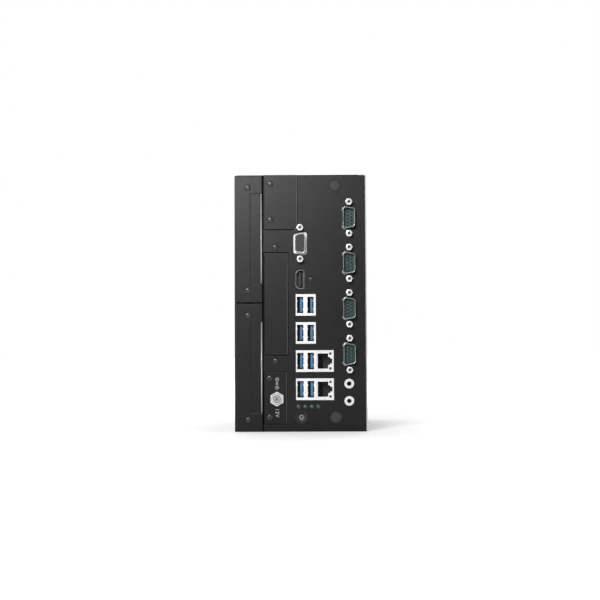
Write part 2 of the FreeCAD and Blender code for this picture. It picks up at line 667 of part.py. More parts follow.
def make_heatsink():
    """The finned top, one extrusion: low fins over the serial ports, high fins behind them."""
    sink = Piece("heatsink")
    start = wall_front
    base_low = shallow_under + dim.sink_base * 0.7
    base_main = main_under + dim.sink_base
    step = sink_step
    wall = dim.sink_base
    step_fin = step + wall / 2
    profile = [(shallow_under, start), (sink_top, start), (sink_top, start + dim.fin_tip),
               (base_low, start + dim.fin_root), (base_low, step_fin - dim.fin_root / 2),
               (sink_top, step_fin - dim.fin_tip / 2), (sink_top, step_fin + dim.fin_tip / 2),
               (shallow_under, step + wall), (base_main, step + wall),
               (base_main, back - dim.fin_root), (sink_top, back - dim.fin_tip),
               (sink_top, back), (main_under, back), (main_under, step), (shallow_under, step)]
    sink.add("level", 0, top, profile)


    def fin(root_x, middle):
        return [(root_x - 0.5, middle - dim.fin_root / 2), (sink_top, middle - dim.fin_tip / 2),
                (sink_top, middle + dim.fin_tip / 2), (root_x - 0.5, middle + dim.fin_root / 2)]

    def fill(root_x, first_fin, last_fin):
        """Evenly spaced fins between two that stand already, about fin_pitch apart."""
        room = last_fin - first_fin
        count = round(room.value / dim.fin_pitch.value) - 1
        pitch = room / (count + 1)
        pad = sink.add("level", 0, top, fin(root_x, first_fin + pitch))
        sink.repeat(pad, "Y", pitch, count)

    fill(base_low, start + dim.fin_tip / 2, step_fin)
    fill(base_main, step_fin, back - dim.fin_tip / 2)
    sink.cut("side", main_under, main_under + dim.sink_base - 0.6,
             *rods(sink_screw_places, dim.screw_shank))
    return sink


def make_drive_cover(which):
    """A drive cover: flat sheet, pressed recess, and a lip folded back between two notches."""
    low, high = cover_spans[which]
    mid = cover_mids[which]
    cover = Piece(f"drive_cover_{which}")
    edge = across(dim.bay_high)
    recess_low = mid - dim.recess_long / 2
    recess_high = mid + dim.recess_long / 2
    recess_left = edge - dim.recess_wide
    cover.add("front", front, wall_front, rect(left, low, edge, high))
    cover.add("front", wall_front, wall_front + dim.recess_deep,
              rect(recess_left - 0.3, recess_low + 0.4, edge, recess_high - 0.4))
    cover.cut("front", front, front + dim.recess_deep,
              rect(recess_left, recess_low, edge + 1, recess_high))
    lip_left = edge - dim.sheet
    lip_low = recess_low + dim.relief
    lip_high = recess_high - dim.relief
    cover.add("front", wall_front, front + dim.lip_deep, rect(lip_left, lip_low, edge, lip_high))
    notches = [rect(edge - dim.relief * 1.2, recess_low - 0.1, edge + 1, lip_low),
               rect(edge - dim.relief * 1.2, lip_high, edge + 1, recess_high + 0.1)]
    cover.cut("front", front, front + dim.lip_deep, *notches)

    def is_lip_bend(item):
        return (is_straight(item, 2) and is_at(item, 0, edge)
                and is_at(item, 1, front + dim.recess_deep))

    cover.dress("Fillet", dim.sheet * 0.9, is_lip_bend)
    places = [(x, z) for x, z in cover_screws if low.value < z.value < high.value]
    cover.cut("front", front, wall_front, *rods(places, dim.screw_hole))
    return cover


def make_option_cover():
    """The blank plate over the optional port bay, with one corner cut off."""
    cover = Piece("option_cover")
    clip = dim.option_clip
    outline = [(panel_left + dim.plate_gap, option_low), (option_x - clip, option_low),
               (option_x, option_low + clip), (option_x, top), (panel_left + dim.plate_gap, top)]
    cover.add("front", front - dim.option_proud, wall_front, outline)
    cover.dress("Chamfer", 0.25, lambda edge: is_at(edge, 1, front - dim.option_proud))
    cover.cut("front", front - dim.option_proud, wall_front, *rods(option_screws, dim.screw_hole))
    return cover


def make_slot_cover():
    """The expansion slot's blank: a pressed hat whose end tongues are held behind the wall."""
    cover = Piece("slot_cover")
    face = front - dim.slot_proud
    tongue_back = wall_back + dim.slot_wall
    cover.add("front", face, tongue_back, rect(slot_left, slot_low, slot_x, slot_high))
    tongue = dim.slot_tongue
    cover.add("front", wall_back, tongue_back,
              rect(slot_left, slot_low - tongue, slot_x, slot_high + tongue))
    cover.cut("front", face + dim.slot_wall, tongue_back,
              rect(slot_left + dim.slot_wall, slot_low + dim.slot_wall,
                   slot_x - dim.slot_wall, slot_high - dim.slot_wall))
    cover.dress("Fillet", dim.slot_wall * 0.5, lambda edge: is_at(edge, 1, face))
    cover.cut("front", wall_back, tongue_back, *rods(slot_screws, dim.screw_hole))
    return cover


def make_inlet_plate():
    """The power inlet's own plate, let in below the front panel's face."""
    plate = Piece("inlet_plate")
    face = wall_front - dim.inlet_thick
    plate.add("front", face, wall_front,
              rect(panel_left + dim.plate_gap, dim.inlet_low, inlet_x, inlet_high))
    plate.cut("front", face, wall_front, polygon_round(jack_x, dim.jack_up, dim.jack_hole, 8),
              *rods(inlet_screws, dim.screw_hole))
    return plate


def make_bay_shelf():
    """The shelf between the drive bays and the boards, folded down along its rear edge."""
    shelf = Piece("bay_shelf")
    inner_back = back - dim.sheet * 2
    shelf.add("level", dim.sheet, top - dim.sheet,
              rect(shelf_under, wall_back, shelf_top, inner_back))
    rear_lip = rect(shelf_under - 8.0, inner_back - dim.sheet, shelf_under, inner_back)
    shelf.add("level", dim.flange_wide + 2.0, top - dim.flange_wide - 2.0, rear_lip)
    return shelf


# ---------------------------------------------------------------- screws

def add_screws(screws, places, seat, head=dim.screw_head):
    """Pan-head screws; seat is the face that their heads bear on."""
    screws.add("front", seat - dim.screw_head_high, seat, *heads(places, head))
    screws.add("front", seat, seat + dim.screw_long, *rods(places, dim.screw_shank))


def make_front_screws():
    """The screws of the drive covers, of the three let-in plates and of the video port's lock."""
    add_screws(Piece("drive_cover_screws"), cover_screws, front)
    plates = Piece("plate_screws")
    add_screws(plates, option_screws, front - dim.option_proud)
    add_screws(plates, slot_screws, front)
    add_screws(plates, inlet_screws, wall_front - dim.inlet_thick)
    lock = [(lock_x, dim.video_mid)]
    add_screws(Piece("video_lock_screw"), lock, front, dim.screw_head * 0.76)


def make_hidden_screws():
    """The rear panel's screws, and the heatsink's screws under its flanges."""
    rear = Piece("rear_panel_screws")
    rear.add("front", back, back + dim.screw_head_high, *heads(rear_screws, dim.screw_head))
    rear.add("front", back - dim.screw_long, back, *rods(rear_screws, dim.screw_shank))
    sink = Piece("heatsink_screws")
    seat = main_under - dim.sheet
    sink.add("side", seat - dim.screw_head_high, seat, *heads(sink_screw_places, dim.screw_head))
    sink.add("side", seat, main_under + dim.sink_base - 1.0,
             *rods(sink_screw_places, dim.screw_shank))


def make_jackscrews():
    """The hexagonal jackscrews of the five D connectors, tapped for the plugs' screws."""
    screws = Piece("jackscrews")
    face = front - dim.hex_long
    screws.add("front", face, front, *[hexagon(x, z, dim.hex_across) for x, z in jackscrew_places])
    screws.add("front", front, front + dim.screw_long, *rods(jackscrew_places, dim.hex_shank))
    screws.cut("front", face, face + dim.hex_tap_deep, *holes(jackscrew_places, dim.hex_tap))
    return screws


# ---------------------------------------------------------------- D connectors

def add_dsub_shell(shell, wide, tall, wide_side):
    """A D connector's flange and its shell, drawn as one piece about the connector's middle."""
    flange_back = dim.sheet + dim.dsub_flange
    shell.add("front", dim.sheet, flange_back,
              centred(sized(0), sized(0), dim.dsub_flange_wide, dim.dsub_flange_tall))
    shell.add("front", -dim.dsub_proud, flange_back, d_outline(wide, tall, wide_side))
    inner = d_outline(wide - dim.dsub_wall * 2, tall - dim.dsub_wall * 2.4, wide_side)
    shell.cut("front", -dim.dsub_proud, flange_back, inner)
    inner_x = (wide / 2 - dim.dsub_wall).value
    outer_x = (wide / 2).value

    def is_corner(edge, x):
        return is_straight(edge, 1) and abs(abs(edge.Vertexes[0].X) - x) < 1e-4

    shell.dress("Chamfer", dim.dsub_corner * 0.5, lambda edge: is_corner(edge, inner_x))
    shell.dress("Fillet", dim.dsub_corner, lambda edge: is_corner(edge, outer_x))
    shell.cut("front", dim.sheet, flange_back,
              *rods([(0, dim.dsub_half_span), (0, -dim.dsub_half_span)],
                    dim.hex_shank + dim.clearance))


def add_dsub_insert(insert, wide, tall, wide_side, face, seat):
    """A D connector's plastic: the part inside its shell and the body that stands on the board."""
    fit = dim.clearance * 2
    flange_back = dim.sheet + dim.dsub_flange
    inner = d_outline(wide - dim.dsub_wall * 2 - fit, tall - dim.dsub_wall * 2.4 - fit, wide_side)
    insert.add("front", face, flange_back, inner)
    insert.dress("Chamfer", dim.dsub_corner * 0.5, lambda edge: is_straight(edge, 1))
    body_half = dim.dsub_half_span - dim.hex_shank - 1.2
    insert.add("front", flange_back, flange_back + dim.dsub_body_deep,
               rect(-seat, -body_half, dim.dsub_flange_wide / 2 - 0.6, body_half))


def make_com_port(number, z):
    """A serial port: nine-pin male connector with its long side towards the drive covers."""
    shell = Piece(f"com_shell_{number}", com_x, front, z)
    add_dsub_shell(shell, dim.male_wide, dim.male_tall, -1)
    insert = Piece(f"com_insert_{number}", com_x, front, z)
    add_dsub_insert(insert, dim.male_wide, dim.male_tall, -1, sized(-0.6), dim.com_seat)


def make_com_pins():
    """The serial ports' contact pins, five and four to a port, standing on the inserts."""
    pins = Piece("com_pins", com_x, front)
    root = sized(-0.6)
    tip = -dim.dsub_proud + 0.9
    first_port = com_places[-1]
    for side, count in ((-1, 5), (1, 4)):
        lowest = first_port - dim.pin_pitch * (count - 1) / 2
        pin = pins.add("front", tip, root, polygon(dim.row_pitch / 2 * side, lowest, dim.pin_radius, 6))
        pins.repeat(pin, "Z", dim.pin_pitch, count, dim.com_pitch, len(com_places))
    return pins


def make_vga_port():
    """The analogue video connector: female, its long side towards the heatsink."""
    shell = Piece("vga_shell", vga_x, front, dim.vga_mid)
    add_dsub_shell(shell, dim.female_wide, dim.female_tall, 1)
    insert = Piece("vga_insert", vga_x, front, dim.vga_mid)
    face = -dim.dsub_proud + 0.4
    add_dsub_insert(insert, dim.female_wide, dim.female_tall, 1, face, dim.vga_up)
    for row, shift in ((-1, 0.25), (0, -0.25), (1, 0.25)):
        lowest = dim.socket_pitch * (shift - 2)
        socket = insert.cut("front", face, face + 3.0,
                            polygon(dim.socket_row * row, lowest, dim.pin_radius, 6))
        insert.repeat(socket, "Z", dim.socket_pitch, 5)


def video_outline(tall, high):
    """The digital video port's outline: long side towards the heatsink, two cut corners."""
    cut = high * 0.34
    return [(high / 2, -tall / 2), (high / 2, tall / 2), (-high / 2 + cut, tall / 2),
            (-high / 2, tall / 2 - cut), (-high / 2, -tall / 2 + cut),
            (-high / 2 + cut, -tall / 2)]


def make_video_port():
    shell = Piece("video_port_shell", video_x, front, dim.video_mid)
    shell.add("front", -0.5, dim.video_deep, video_outline(dim.video_tall, dim.video_high))
    wall = dim.video_wall
    inner = video_outline(dim.video_tall - wall * 2, dim.video_high - wall * 2)
    shell.cut("front", -0.5, dim.video_deep - 1.0, inner)
    tongue = Piece("video_port_tongue", video_x, front, dim.video_mid)
    blade = rect(sized(-0.6), -dim.video_tall / 2 + 1.9, sized(0.7), dim.video_tall / 2 - 1.9)
    tongue.add("front", 1.2, dim.video_deep - 1.0, blade)
    tongue.dress("Chamfer", 0.3, lambda edge: is_at(edge, 1, 1.2))


# ---------------------------------------------------------------- USB and network stacks

def usb_openings():
    """The two USB openings of a stack, from the board's face upwards."""
    half = dim.usb_open_wide / 2
    lows = [dim.usb_first + dim.usb_pitch * step for step in range(2)]
    return [rect(low, -half, low + dim.usb_open_high, half) for low in lows]


def make_stack(name, z, high):
    """A port stack's steel shell with its two USB openings."""
    shell = Piece(name, board_top, front, z)
    half = dim.port_wide / 2
    face = -dim.port_proud
    shell.add("front", face, dim.port_deep, rect(sized(0), -half, high, half))
    shell.cut("front", face, face + dim.usb_open_deep, *usb_openings())
    return shell


def make_lan_jack(number, shell, z):
    """A network jack: its plastic insert in the stack's shell, stepped for the plug's latch."""
    half = dim.port_wide / 2 - 0.9
    low = dim.lan_first
    high = dim.lan_high - 0.8
    face = -dim.port_proud
    deep = dim.port_deep - 1.0
    shell.cut("front", face, deep, rect(low, -half, high, half))
    jack = Piece(f"lan_jack_{number}", board_top, front, z)
    fit = dim.clearance
    inset = face + 0.3
    jack.add("front", inset, deep, rect(low + fit, -half + fit, high - fit, half - fit))
    floor = low + dim.lan_wall
    ceiling = floor + dim.lan_open_high
    step = ceiling + dim.latch_step
    opening = [(floor, -dim.lan_open_wide / 2), (ceiling, -dim.lan_open_wide / 2),
               (ceiling, -dim.latch_wide / 2), (step, -dim.latch_wide / 2),
               (step, -dim.latch_wide / 4), (step + dim.latch_step, -dim.latch_wide / 4),
               (step + dim.latch_step, dim.latch_wide / 4), (step, dim.latch_wide / 4),
               (step, dim.latch_wide / 2), (ceiling, dim.latch_wide / 2),
               (ceiling, dim.lan_open_wide / 2), (floor, dim.lan_open_wide / 2)]
    jack.cut("front", inset, inset + dim.lan_open_deep, opening)
    lamp = dim.lamp_side
    places = [(high - lamp / 2 - 0.6, side * (half - lamp / 2 - 0.5)) for side in (-1, 1)]
    jack.cut("front", inset, inset + 3.0, *[centred(x, side, lamp, lamp) for x, side in places])
    return places, inset


def make_stacks():
    """Two network-and-USB stacks below two USB stacks, with their tongues, jacks and lamps."""
    tongues = Piece("usb_tongues", board_top, front)
    lamps = Piece("lan_lamps", board_top, front)
    names = ("usb_lan_stack_1", "usb_lan_stack_2", "usb_stack_1", "usb_stack_2")
    highs = (dim.lan_high, dim.lan_high, dim.usb_high, dim.usb_high)
    lamp_shapes = []
    tongue_shapes = []
    for number, (name, z, high) in enumerate(zip(names, stack_places, highs), 1):
        shell = make_stack(name, z, high)
        for step in range(2):
            low = dim.usb_first + dim.usb_pitch * step + dim.tongue_up
            tongue_shapes.append(rect(low, z - dim.tongue_wide / 2,
                                      low + dim.tongue_thick, z + dim.tongue_wide / 2))
        if number <= 2:
            places, inset = make_lan_jack(number, shell, z)
            side = dim.lamp_side - dim.clearance
            lamp_shapes += [centred(x, z + offset, side, side) for x, offset in places]
    pocket_back = dim.usb_open_deep - dim.port_proud
    tongues.add("front", pocket_back - dim.tongue_deep, pocket_back, *tongue_shapes)
    lamps.add("front", inset, inset + 3.0, *lamp_shapes)


# ---------------------------------------------------------------- small front fittings

def make_audio_jacks():
    """Two headset jacks: a metal bush each, in one twin plastic body on the serial port board."""
    seat = front + dim.sheet
    for number, z in enumerate(audio_places, 1):
        bush = Piece(f"audio_jack_{number}", audio_x, front, z)
        bush.turn([(dim.audio_bore, -dim.audio_proud), (dim.audio_bush - 0.4, -dim.audio_proud), (dim.audio_bush, -dim.audio_proud + 0.4),
                   (dim.audio_bush, dim.sheet + 2.0), (dim.audio_bore + 1.0, dim.sheet + 2.0),
                   (dim.audio_bore + 1.0, dim.audio_deep), (dim.audio_bore, dim.audio_deep)])
    body = Piece("audio_body", audio_x, seat)
    seat_drop = audio_x - port_board_top
    lowest = audio_places[1] - 6.0
    highest = audio_places[0] + 6.0
    body.add("front", 0, dim.audio_deep + 0.8, rect(-seat_drop, lowest, sized(5.6), highest))
    body.cut("front", 0, 2.0 + dim.clearance,
             *[polygon_round(0, z, dim.audio_bush + dim.clearance, 8) for z in audio_places])
    body.cut("front", 0, dim.audio_deep - dim.sheet,
             *[polygon_round(0, z, dim.audio_bore + 1.0 + dim.clearance, 8) for z in audio_places])
    return body


def make_power_jack():
    """The power jack: threaded barrel with a centre pin, and the nut that holds it."""
    jack = Piece("power_jack", jack_x, front, dim.jack_up)
    wall_depth = dim.sheet * 2
    barrel = dim.jack_barrel
    jack.turn([(0, -2.8), (dim.jack_pin, -2.4), (dim.jack_pin, 6.0), (dim.jack_bore, 6.0),
               (dim.jack_bore, -4.0), (barrel - 0.4, -4.0), (barrel, -3.6), (barrel, wall_depth),
               (barrel + 1.0, wall_depth), (barrel + 1.0, 12.0), (0, 12.0)])
    nut = Piece("power_jack_nut", jack_x, front, dim.jack_up)
    seat = dim.sheet - dim.inlet_thick
    nut.add("front", seat - dim.nut_high, seat, hexagon(sized(0), sized(0), dim.nut_across, 0.5))
    nut.cut("front", seat - dim.nut_high, seat, disc(0, 0, dim.jack_barrel + 0.05))


def make_status_lamps():
    """Four status lamps: round light guides on one moulded bar behind the front panel."""
    lamps = Piece("status_lamps", 0, front, dim.led_up)
    lamps.add("front", sized(-0.3), dim.sheet,
              *heads([(x, 0) for x in led_places], dim.led_radius))
    bar_drop = (dim.led_up - dim.button_up) - (dim.bezel_radius + 1.2) - dim.clearance * 2
    lamps.add("front", dim.sheet, dim.board_back - dim.clearance,
              rect(led_places[0] - 2.2, -bar_drop, led_places[-1] + 2.2, dim.led_radius + 0.6))
    return lamps


def make_power_button():
    """The power button: a cap that slides in a bezel, kept in by a collar, before its switch."""
    bezel = Piece("power_bezel", button_x, front, dim.button_up)
    bore = dim.button_radius + dim.button_play
    collar = dim.button_radius + 0.5
    collar_front = dim.sheet * 2 + 0.6
    deep = collar_front + 1.4 + dim.button_travel + 0.6
    outer = dim.bezel_radius
    neck = dim.bezel_radius - 0.5
    rear = outer + 1.2
    bezel.turn([(bore, -0.5), (outer - 0.2, -0.5), (outer, 0), (neck, 0),
                (neck, dim.sheet * 2), (rear, dim.sheet * 2), (rear, deep),
                (collar + dim.button_play, deep), (collar + dim.button_play, collar_front - 0.1),
                (bore, collar_front - 0.1)])
    button = Piece("power_button", button_x, front, dim.button_up)
    radius = dim.button_radius
    button.turn([(0, -dim.button_proud + 0.35), (radius - 0.5, -dim.button_proud),
                 (radius, -dim.button_proud + 0.5), (radius, collar_front),
                 (collar, collar_front), (collar, collar_front + 1.5), (0, collar_front + 1.5)])
    switch = Piece("power_switch", button_x, front, dim.button_up)
    switch.add("front", deep, deep + 4.0, centred(sized(0), sized(0), sized(10.0), sized(10.0)))
    switch.dress("Chamfer", 0.6, lambda edge: is_straight(edge, 1))


def make_antenna_plug(name, z):
    """A soft plug in an unused antenna hole: a domed head and its neck."""
    plug = Piece(name, plug_x, front, z)
    radius = dim.plug_radius
    neck = dim.plug_neck - dim.clearance
    wall = dim.sheet * 2
    plug.turn([(0, -1.3), (radius * 0.8, -1.1), (radius, -0.3), (radius, 0), (neck, 0),
               (neck, wall + 1.6), (0, wall + 1.6)])
    return plug


# ---------------------------------------------------------------- inside

board_low = dim.board_low
board_high = board_low + dim.board_size
post_places = [(y, z) for y in (board_front + dim.post_inset + 18.0,
                                board_front + dim.board_size - dim.post_inset)
               for z in (board_low + dim.post_inset, board_high - dim.post_inset)]
chip_y = board_front + dim.chip_back
chip_z = board_low + dim.board_size / 2


def make_boards():
    """Mainboard on posts from the shelf, and the serial port board on posts from the mainboard."""
    board = Piece("mainboard")
    board.add("side", board_under, board_top,
              rect(board_front, board_low, board_front + dim.board_size, board_high))
    posts = Piece("board_posts")
    posts.add("side", shelf_top, board_under, *[hexagon(y, z, dim.post_radius * 2) for y, z in post_places])
    ports = Piece("port_board")
    ports.add("side", port_board_under, port_board_top,
              rect(board_front, dim.port_board_low, port_board_back,
                   dim.port_board_low + dim.port_board_tall))
    spots = [(port_board_back - 5.0, board_low + 8.0 + (dim.board_size - 16.0) * part)
             for part in (0.0, 0.5, 1.0)]
    pillars = Piece("port_board_posts")
    pillars.add("side", board_top, port_board_under, *[hexagon(y, z, sized(5.0)) for y, z in spots])


def make_processor():
    """Processor on the mainboard, and the heat block from it to the heatsink's underside."""
    chip = Piece("processor")
    half = dim.chip_side / 2
    chip.add("side", board_top, board_top + 1.4,
             rect(chip_y - half, chip_z - half, chip_y + half, chip_z + half))
    lid = half - 3.4
    chip.add("side", board_top + 1.4, board_top + dim.chip_thick,
             rect(chip_y - lid, chip_z - lid, chip_y + lid, chip_z + lid))
    block = Piece("heat_block")
    side = dim.block_side / 2
    block.add("side", board_top + dim.chip_thick, main_under,
              rect(chip_y - side, chip_z - side, chip_y + side, chip_z + side))
    block.dress("Chamfer", 2.0, lambda edge: is_straight(edge, 0))


def make_memory():
    """One memory module lying flat in its socket behind the processor."""
    socket = Piece("memory_socket")
    y = chip_y + dim.block_side / 2 + 8.0
    half = sized(35.0)
    socket.add("side", board_top, board_top + 5.2, rect(y, chip_z - half, y + 5.5, chip_z + half))
    socket.cut("side", board_top + 2.2, board_top + 3.4,
               rect(y + 3.0, chip_z - half + 1.1, y + 6.0, chip_z + half - 1.1))
    arms = [rect(y + 5.5, chip_z + side * (half - 0.5) - 0.5, y + 30.0, chip_z + side * (half - 0.5) + 0.5)
            for side in (-1, 1)]
    socket.add("side", board_top, board_top + 3.6, *arms)
    module = Piece("memory_module")
    module.add("side", board_top + 2.25, board_top + 3.35,
               rect(y + 3.1, chip_z - half + 1.2, y + 31.0, chip_z + half - 1.2))
    chips = [centred(y + 18.0, chip_z + step, sized(11.0), sized(9.0)) for step in (-24.0, -8.0, 8.0, 24.0)]
    module.add("side", board_top + 3.35, board_top + 4.35, *chips)


def make_drive(which):
    """A drive tray behind its cover, a folded channel open on top, and the drive in it."""
    mid = cover_mids[which]
    half = dim.tray_wide / 2
    tray_low = left + 4.2
    tray_wall = sized(1.0)
    tray_front = wall_front + dim.recess_deep + 0.1
    tray_back = tray_front + dim.tray_long
    tray = Piece(f"drive_tray_{which}")
    channel = [(tray_low, mid - half), (tray_low + 11.0, mid - half),
               (tray_low + 11.0, mid - half + tray_wall), (tray_low + tray_wall, mid - half + tray_wall),
               (tray_low + tray_wall, mid + half - tray_wall), (tray_low + 11.0, mid + half - tray_wall),
               (tray_low + 11.0, mid + half), (tray_low, mid + half)]
    tray.add("front", tray_front, tray_back, channel)
    openings = [rect(tray_front + 14.0 + 34.0 * step, mid - 22.0, tray_front + 34.0 + 34.0 * step, mid + 22.0)
                for step in range(3)]
    tray.cut("side", tray_low, tray_low + tray_wall, *openings)
    drive = Piece(f"drive_{which}")
    low = tray_low + tray_wall
    drive_half = dim.drive_wide / 2
    drive_front = tray_front + 6.0
    drive.add("front", drive_front, drive_front + dim.drive_long,
              rect(low, mid - drive_half, low + dim.drive_thick, mid + drive_half))
    drive.dress("Chamfer", 0.8, lambda edge: is_straight(edge, 0))
    return tray


# ---------------------------------------------------------------- build and write

make_chassis_shell()
make_io_panel()
make_rear_panel()
make_heatsink()
make_drive_cover("lower")
make_drive_cover("upper")
make_option_cover()
make_slot_cover()
make_inlet_plate()
make_bay_shelf()
make_front_screws()
make_hidden_screws()
make_jackscrews()
for port, height in enumerate(com_places, 1):
    make_com_port(port, height)
make_com_pins()
make_vga_port()
make_video_port()
make_stacks()
make_audio_jacks()
make_power_jack()
make_status_lamps()
make_power_button()
make_antenna_plug("antenna_plug_upper", plug_places[0])
make_antenna_plug("antenna_plug_lower", plug_places[1])
make_boards()
make_processor()
make_memory()
make_drive("lower")
make_drive("upper")

doc.recompute()
faults = [item.Label for item in doc.Objects if "Invalid" in item.State or "Error" in item.State]
faults += [item.Label for item in subparts if item.Shape.isNull() or not item.Shape.isValid()]
if faults:
    raise RuntimeError("failed: " + ", ".join(faults))

os.makedirs("parts", exist_ok=True)
for item in subparts:
    item.Shape.exportStep(f"parts/{item.Label}.step")
print(len(subparts), "sub-parts written")
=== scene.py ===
import json
import math

import bmesh
import bpy
from mathutils import Matrix, Vector


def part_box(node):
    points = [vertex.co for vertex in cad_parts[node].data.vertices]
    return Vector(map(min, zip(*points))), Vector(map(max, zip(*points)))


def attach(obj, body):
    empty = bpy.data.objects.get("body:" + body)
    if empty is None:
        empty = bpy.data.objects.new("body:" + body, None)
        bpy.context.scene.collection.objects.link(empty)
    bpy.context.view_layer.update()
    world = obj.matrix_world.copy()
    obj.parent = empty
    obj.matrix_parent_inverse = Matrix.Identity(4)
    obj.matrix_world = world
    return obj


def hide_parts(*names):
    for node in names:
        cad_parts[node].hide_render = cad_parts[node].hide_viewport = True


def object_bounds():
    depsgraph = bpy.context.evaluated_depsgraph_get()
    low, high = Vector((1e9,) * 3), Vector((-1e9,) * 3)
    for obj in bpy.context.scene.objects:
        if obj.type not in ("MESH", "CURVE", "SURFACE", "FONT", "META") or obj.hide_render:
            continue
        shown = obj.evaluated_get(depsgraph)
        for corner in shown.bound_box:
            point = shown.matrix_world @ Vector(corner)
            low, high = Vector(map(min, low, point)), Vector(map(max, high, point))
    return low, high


# The looks of a fanless industrial computer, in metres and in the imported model's frame.
# X runs across the front, Y from the front panel to the rear panel, and Z is up.

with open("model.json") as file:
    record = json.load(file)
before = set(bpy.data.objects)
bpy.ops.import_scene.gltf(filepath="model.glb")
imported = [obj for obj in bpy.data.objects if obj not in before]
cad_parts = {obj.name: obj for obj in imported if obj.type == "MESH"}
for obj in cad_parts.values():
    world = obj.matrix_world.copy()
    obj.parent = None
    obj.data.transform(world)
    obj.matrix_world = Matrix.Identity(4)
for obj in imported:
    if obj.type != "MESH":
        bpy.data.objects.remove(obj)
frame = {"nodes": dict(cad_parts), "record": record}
cad_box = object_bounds()
scene = bpy.context.scene
panel_low, panel_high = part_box("io_panel")
front = panel_low[1]
MM = 0.001


# ---------------------------------------------------------------- materials

NOISE_LOW, NOISE_HIGH = 0.3, 0.7        # where most of a noise's values lie
STREAK = 60                             # how much longer than wide the marks of drawing are
WORN_AND_HIGHLIGHT = (0.085, 0.088, 0.092)            # the coat where it is rubbed, and the painted highlight along edges


class Shade:
    """A Principled material, with helpers that add the nodes of its colour, roughness and bump.
    In the names of sockets, _ stands for a space."""

    def __init__(self, name, colour, rough, metal=0.0, **sockets):
        self.material = bpy.data.materials.new(name)
        self.material.use_nodes = True
        self.nodes = self.material.node_tree.nodes
        self.links = self.material.node_tree.links
        self.shader = self.nodes["Principled BSDF"]
        self.colour = colour
        self.rough = rough
        self.set(self.shader, Base_Color=(*colour, 1), Roughness=rough, Metallic=metal, **sockets)
        self.place = self.nodes.new("ShaderNodeTexCoord").outputs["Object"]
        self.normal = None
        self.edge = None

    @staticmethod
    def set(node, **sockets):
        for socket, value in sockets.items():
            node.inputs[socket.replace("_", " ")].default_value = value

    def node(self, kind, operation=None, **sockets):
        """A new node, with its operation and the values of its sockets."""
        node = self.nodes.new(f"ShaderNode{kind}")
        if operation:
            node.operation = operation
        self.set(node, **sockets)
        return node

    def noise(self, size, stretch=(1, 1, 1), detail=2.0):
        """Noise whose grain is about `size` metres across, drawn out along an axis by `stretch`."""
        mapping = self.node("Mapping", Scale=[1 / s for s in stretch])
        self.links.new(self.place, mapping.inputs["Vector"])
        noise = self.node("TexNoise", Scale=1 / size, Detail=detail, Roughness=0.5)
        self.links.new(mapping.outputs["Vector"], noise.inputs["Vector"])
        return noise.outputs["Fac"]

    def spread(self, value, low, high, start=NOISE_LOW, end=NOISE_HIGH):
        """A value between low and high as the input runs from start to end."""
        ramp = self.node("MapRange", From_Min=start, From_Max=end, To_Min=low, To_Max=high)
        self.links.new(value, ramp.inputs["Value"])
        return ramp.outputs["Result"]

    def vary(self, value, by):
        """Lets the colour swing by a part of itself."""
        ramp = self.nodes.new("ShaderNodeValToRGB")
        dark, light = ramp.color_ramp.elements
        dark.position, light.position = NOISE_LOW, NOISE_HIGH
        dark.color = (*(c * (1 - by) for c in self.colour), 1)
        light.color = (*(min(1.0, c * (1 + by)) for c in self.colour), 1)
        self.links.new(value, ramp.inputs["Fac"])
        self.links.new(ramp.outputs["Color"], self.shader.inputs["Base Color"])

    def polish(self, value, by):
        """Lets the roughness swing about its own value."""
        swing = self.spread(value, self.rough - by, self.rough + by)
        self.links.new(swing, self.shader.inputs["Roughness"])

    def round_edges(self, radius):
        """Shades the surface as if its edges were rounded, and keeps how far each spot is turned."""
        bevel = self.node("Bevel", Radius=radius)
        bevel.samples = 6
        flat = self.node("NewGeometry")
        turned = self.node("VectorMath", "DOT_PRODUCT")
        self.links.new(bevel.outputs["Normal"], turned.inputs[0])
        self.links.new(flat.outputs["True Normal"], turned.inputs[1])
        self.normal = bevel.outputs["Normal"]
        self.edge = turned.outputs["Value"]

    def rub(self, worn, patches, start=0.985, end=0.80, least=0.25):
        """Blends towards a paler colour along the edges, more in some patches than in others: partly
        wear, partly a painted highlight. It sets in where the dot product of both normals is `start`,
        and is full at `end`."""
        wear_and_highlight = self.node("Math", "MULTIPLY")
        self.links.new(self.spread(self.edge, 0.0, 1.0, start, end), wear_and_highlight.inputs[0])
        self.links.new(self.spread(patches, least, 1.0), wear_and_highlight.inputs[1])
        blend = self.node("MixRGB", Color2=(*worn, 1))
        self.links.new(wear_and_highlight.outputs[0], blend.inputs["Fac"])
        base = self.shader.inputs["Base Color"]
        self.links.new(base.links[0].from_socket, blend.inputs["Color1"])
        self.links.new(blend.outputs["Color"], base)

    def bump(self, value, depth):
        """Raises the surface by up to `depth` metres."""
        bump = self.node("Bump", Distance=depth)
        self.links.new(value, bump.inputs["Height"])
        if self.normal:
            self.links.new(self.normal, bump.inputs["Normal"])
        self.links.new(bump.outputs["Normal"], self.shader.inputs["Normal"])


def powder_coat(name, colour, rough):
    """Fine-grained satin powder coat on sheet steel, paler along its edges, partly as wear and partly
    as a painted highlight.
    """
    shade = Shade(name, colour, rough, Specular_IOR_Level=0.30)
    shade.round_edges(radius=0.0004)
    shade.vary(shade.noise(0.002, detail=4.0), by=0.06)
    shade.polish(shade.noise(0.005, detail=3.0), by=0.02)
    # paler edges: partly wear, partly a painted highlight
    shade.rub(WORN_AND_HIGHLIGHT, shade.noise(0.004, detail=4.0))
    shade.bump(shade.noise(0.0006, detail=4.0), depth=0.00005)
    return shade.material


def drawn_metal(name, colour, rough, along, grain=0.0003, depth=0.00001, metal=0.55):
    """Metal with the fine streaks of drawing, extruding or brushing along one axis."""
    shade = Shade(name, colour, rough, metal)
    stretch = [1, 1, 1]
    stretch["XYZ".index(along)] = STREAK
    streaks = shade.noise(grain, stretch, detail=3.0)
    shade.vary(streaks, by=0.06)
    shade.polish(streaks, by=0.06)
    shade.bump(streaks, depth)
    return shade.material


